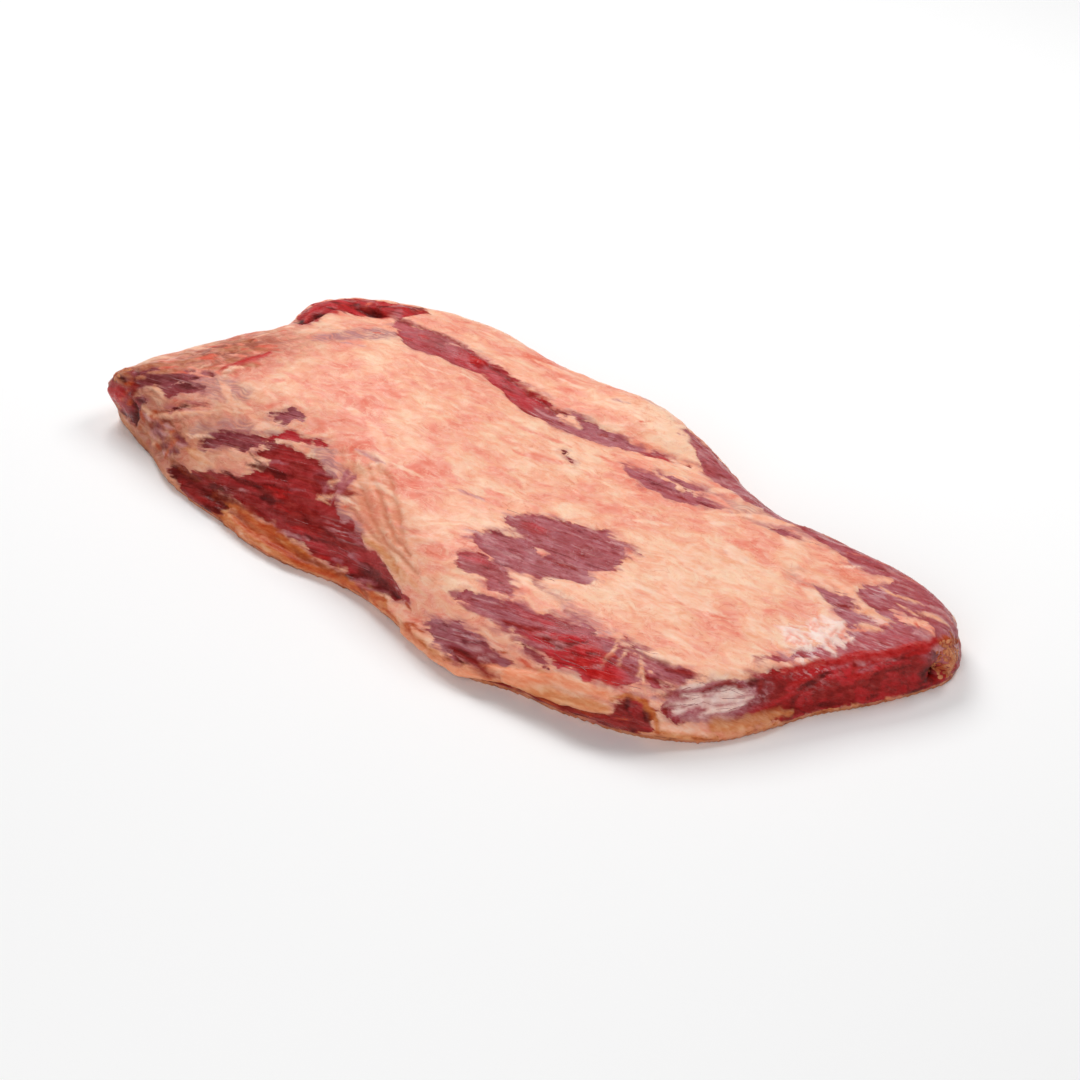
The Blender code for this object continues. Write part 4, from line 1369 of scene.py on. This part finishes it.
def grown_piece(name, base, tree, sizes, finish):
    """Runs the tree on a base object and keeps the result as a plain mesh piece."""
    modifier = base.modifiers.new("grow", "NODES")
    modifier.node_group = tree
    wanted = {**sizes, "Finish": finish}
    for socket in tree.interface.items_tree:
        if socket.in_out == "INPUT" and socket.name in wanted:
            modifier[socket.identifier] = wanted[socket.name]
    mesh = applied(base)
    base.modifiers.remove(modifier)
    mesh.name = name
    piece = bpy.data.objects.new(name, mesh)
    bpy.context.collection.objects.link(piece)
    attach(piece, "root")
    print(name, "has", sum(len(f.vertices) - 2 for f in mesh.polygons), "triangles")


# %% Finishes of the grown pieces
def grown_finish(name, dull, bright, roughness):
    """Two colours that wander over the piece, with a fine grain."""
    r = Recipe(name)
    place = r.place()
    shade = r.noise(place, 7.0)
    r.put(r.shader.inputs["Base Color"], r.mix(r.ease(shade, 0.35, 0.65), dull, bright))
    fine = r.noise(place, 1.2, detail=2.0)
    r.put(r.shader.inputs["Roughness"], r.ease(fine, 0.3, 0.7, roughness - 0.08, roughness + 0.12))
    r.put(r.shader.inputs["Normal"], r.bump(fine, 0.3 * MM, strength=0.4))
    r.moist(specular=0.16, depth=2.0)
    return r.material


# %% [markdown]
# ## Threads of silverskin
#
# Where silverskin tears, it leaves pale threads as fine as hair on the lean, and nearly all of them
# lie along the fibres. Lines in the material could stand for them, but from a low angle a thread
# catches the light on its round back. So each one is a path with a round profile swept along it,
# thin at both ends and sunk a little into the meat.

# %% Threads of silverskin
THREAD_SEED = 77
THREAD_DULL, THREAD_BRIGHT = (0.34, 0.085, 0.09), (0.52, 0.21, 0.21)
THREAD_RADIUS = 0.14  # mm
THREAD_SUNK = 0.05  # mm under the skin, so that it doesn't float
THREADS = [
    # area, how many, length in mm, direction, spread in degrees
    ("shoulder", 9, (10, 30), "fibres", 9), ("middle", 24, (8, 26), "fibres", 9),
    ("front_long", 18, (10, 28), "fibres", 10), ("far_end", 30, (8, 24), "fibres", 14),
    ("seam_point", 10, (8, 22), "fibres", 12), ("seam_flat", 8, (8, 20), "fibres", 12),
    ("cut_near", 22, (6, 20), "round", 22), ("shoulder_upper", 6, (8, 20), "fibres", 12),
]


def thread_tree():
    """A round profile swept along every curve; a point's own radius tapers it."""
    tree, start, end = new_tree("swept_thread", ["Thread Radius"])
    profile = grow(tree, "GeometryNodeCurvePrimitiveCircle", {
        "Resolution": 5, "Radius": start.outputs["Thread Radius"]})
    sweep = grow(tree, "GeometryNodeCurveToMesh", {
        "Curve": start.outputs["Geometry"], "Profile Curve": profile["Curve"], "Fill Caps": True})
    return close_tree(tree, start, end, sweep["Mesh"])


def on_flesh(path):
    """A path over the plain skin, moved on to the sculpted one and sunk in it a little."""
    found = [skin_tree.find(p)[1] for p in path]
    return moved[found] + (path - place[found]) - THREAD_SUNK * facing[found]


def thread_curves(name, dice):
    """One curve object with a spline for each thread."""
    data = bpy.data.curves.new(name, "CURVE")
    data.dimensions = "3D"
    for where, count, lengths, direction, spread in THREADS:
        for path in strand_paths(where, count, lengths, direction, spread, dice):
            if len(path) < 4:  # too short to taper
                continue
            spots = on_flesh(path) * MM
            spline = data.splines.new("POLY")
            spline.points.add(len(spots) - 1)
            taper = np.sin(np.linspace(0.12, math.pi - 0.12, len(spots))) ** 0.5
            thickness = dice.uniform(0.6, 1.4) * taper
            spline.points.foreach_set("co", np.column_stack([spots, np.ones(len(spots))]).ravel())
            spline.points.foreach_set("radius", thickness)
    curves = bpy.data.objects.new(name + "_paths", data)
    bpy.context.collection.objects.link(curves)
    return curves


paths = thread_curves("silver_threads", np.random.default_rng(THREAD_SEED))
finish = grown_finish("silver_threads", THREAD_DULL, THREAD_BRIGHT, 0.28)
grown_piece("silver_threads", paths, thread_tree(), {"Thread Radius": THREAD_RADIUS * MM}, finish)
bpy.data.objects.remove(paths)

# %% [markdown]
# ## Lobules of fat
#
# Fat is made of soft grains. Where the knife opened it, in the pit of the cut end and at the nub of
# the point, they show as small beads. The skin's faces are too coarse to sculpt them, and particles
# would be lost in an export. So flattened beads are scattered where a mark on the skin says so, and
# made real mesh. The mark isn't needed afterwards and is taken off again.

# %% Lobules
LOBULE_DULL, LOBULE_BRIGHT = (0.40, 0.07, 0.022), (0.68, 0.26, 0.12)
LOBULE_RADIUS = 1.0  # mm
LOBULES_PER_SQUARE_CM = 46.0
SQUARE_CM = 0.0001  # in square metres
# times the radius: length, width and thickness
SMALLEST_LOBULE = (0.6, 0.6, 0.30)
LARGEST_LOBULE = (2.0, 1.3, 0.60)


def lobule_tree():
    """Small flattened beads, scattered where the skin's `lobules` mark is above zero."""
    tree, start, end = new_tree("scattered_lobules", ["Lobule Radius", "Density"])
    mark = grow(tree, "GeometryNodeInputNamedAttribute", {"Name": "lobules"}, data_type="FLOAT")
    density = grow(tree, "ShaderNodeMath", {
        0: mark["Attribute"], 1: start.outputs["Density"]}, operation="MULTIPLY")
    scatter = grow(tree, "GeometryNodeDistributePointsOnFaces", {
        "Mesh": start.outputs["Geometry"], "Density": density[0], "Seed": 12})
    bead = grow(tree, "GeometryNodeMeshIcoSphere", {
        "Radius": start.outputs["Lobule Radius"], "Subdivisions": 2})
    sizes = grow(tree, "FunctionNodeRandomValue", {
        0: SMALLEST_LOBULE, 1: LARGEST_LOBULE, "Seed": 4}, data_type="FLOAT_VECTOR")
    copies = grow(tree, "GeometryNodeInstanceOnPoints", {
        "Points": scatter["Points"], "Instance": bead["Mesh"],
        "Rotation": scatter["Rotation"], "Scale": sizes[0]})
    return close_tree(tree, start, end, copies["Instances"])


opened = np.maximum(dab(272, 68, 12, 14, 0, 18), dab(-262, -90, 12, 8, 30, 34))
keep_mark(meat.data, "lobules", opened * (opened > 0.3))
finish = grown_finish("fat_lobules", LOBULE_DULL, LOBULE_BRIGHT, 0.36)
grown_piece("fat_lobules", meat, lobule_tree(), {
    "Lobule Radius": LOBULE_RADIUS * MM,
    "Density": LOBULES_PER_SQUARE_CM / SQUARE_CM,
}, finish)
meat.data.attributes.remove(meat.data.attributes["lobules"])
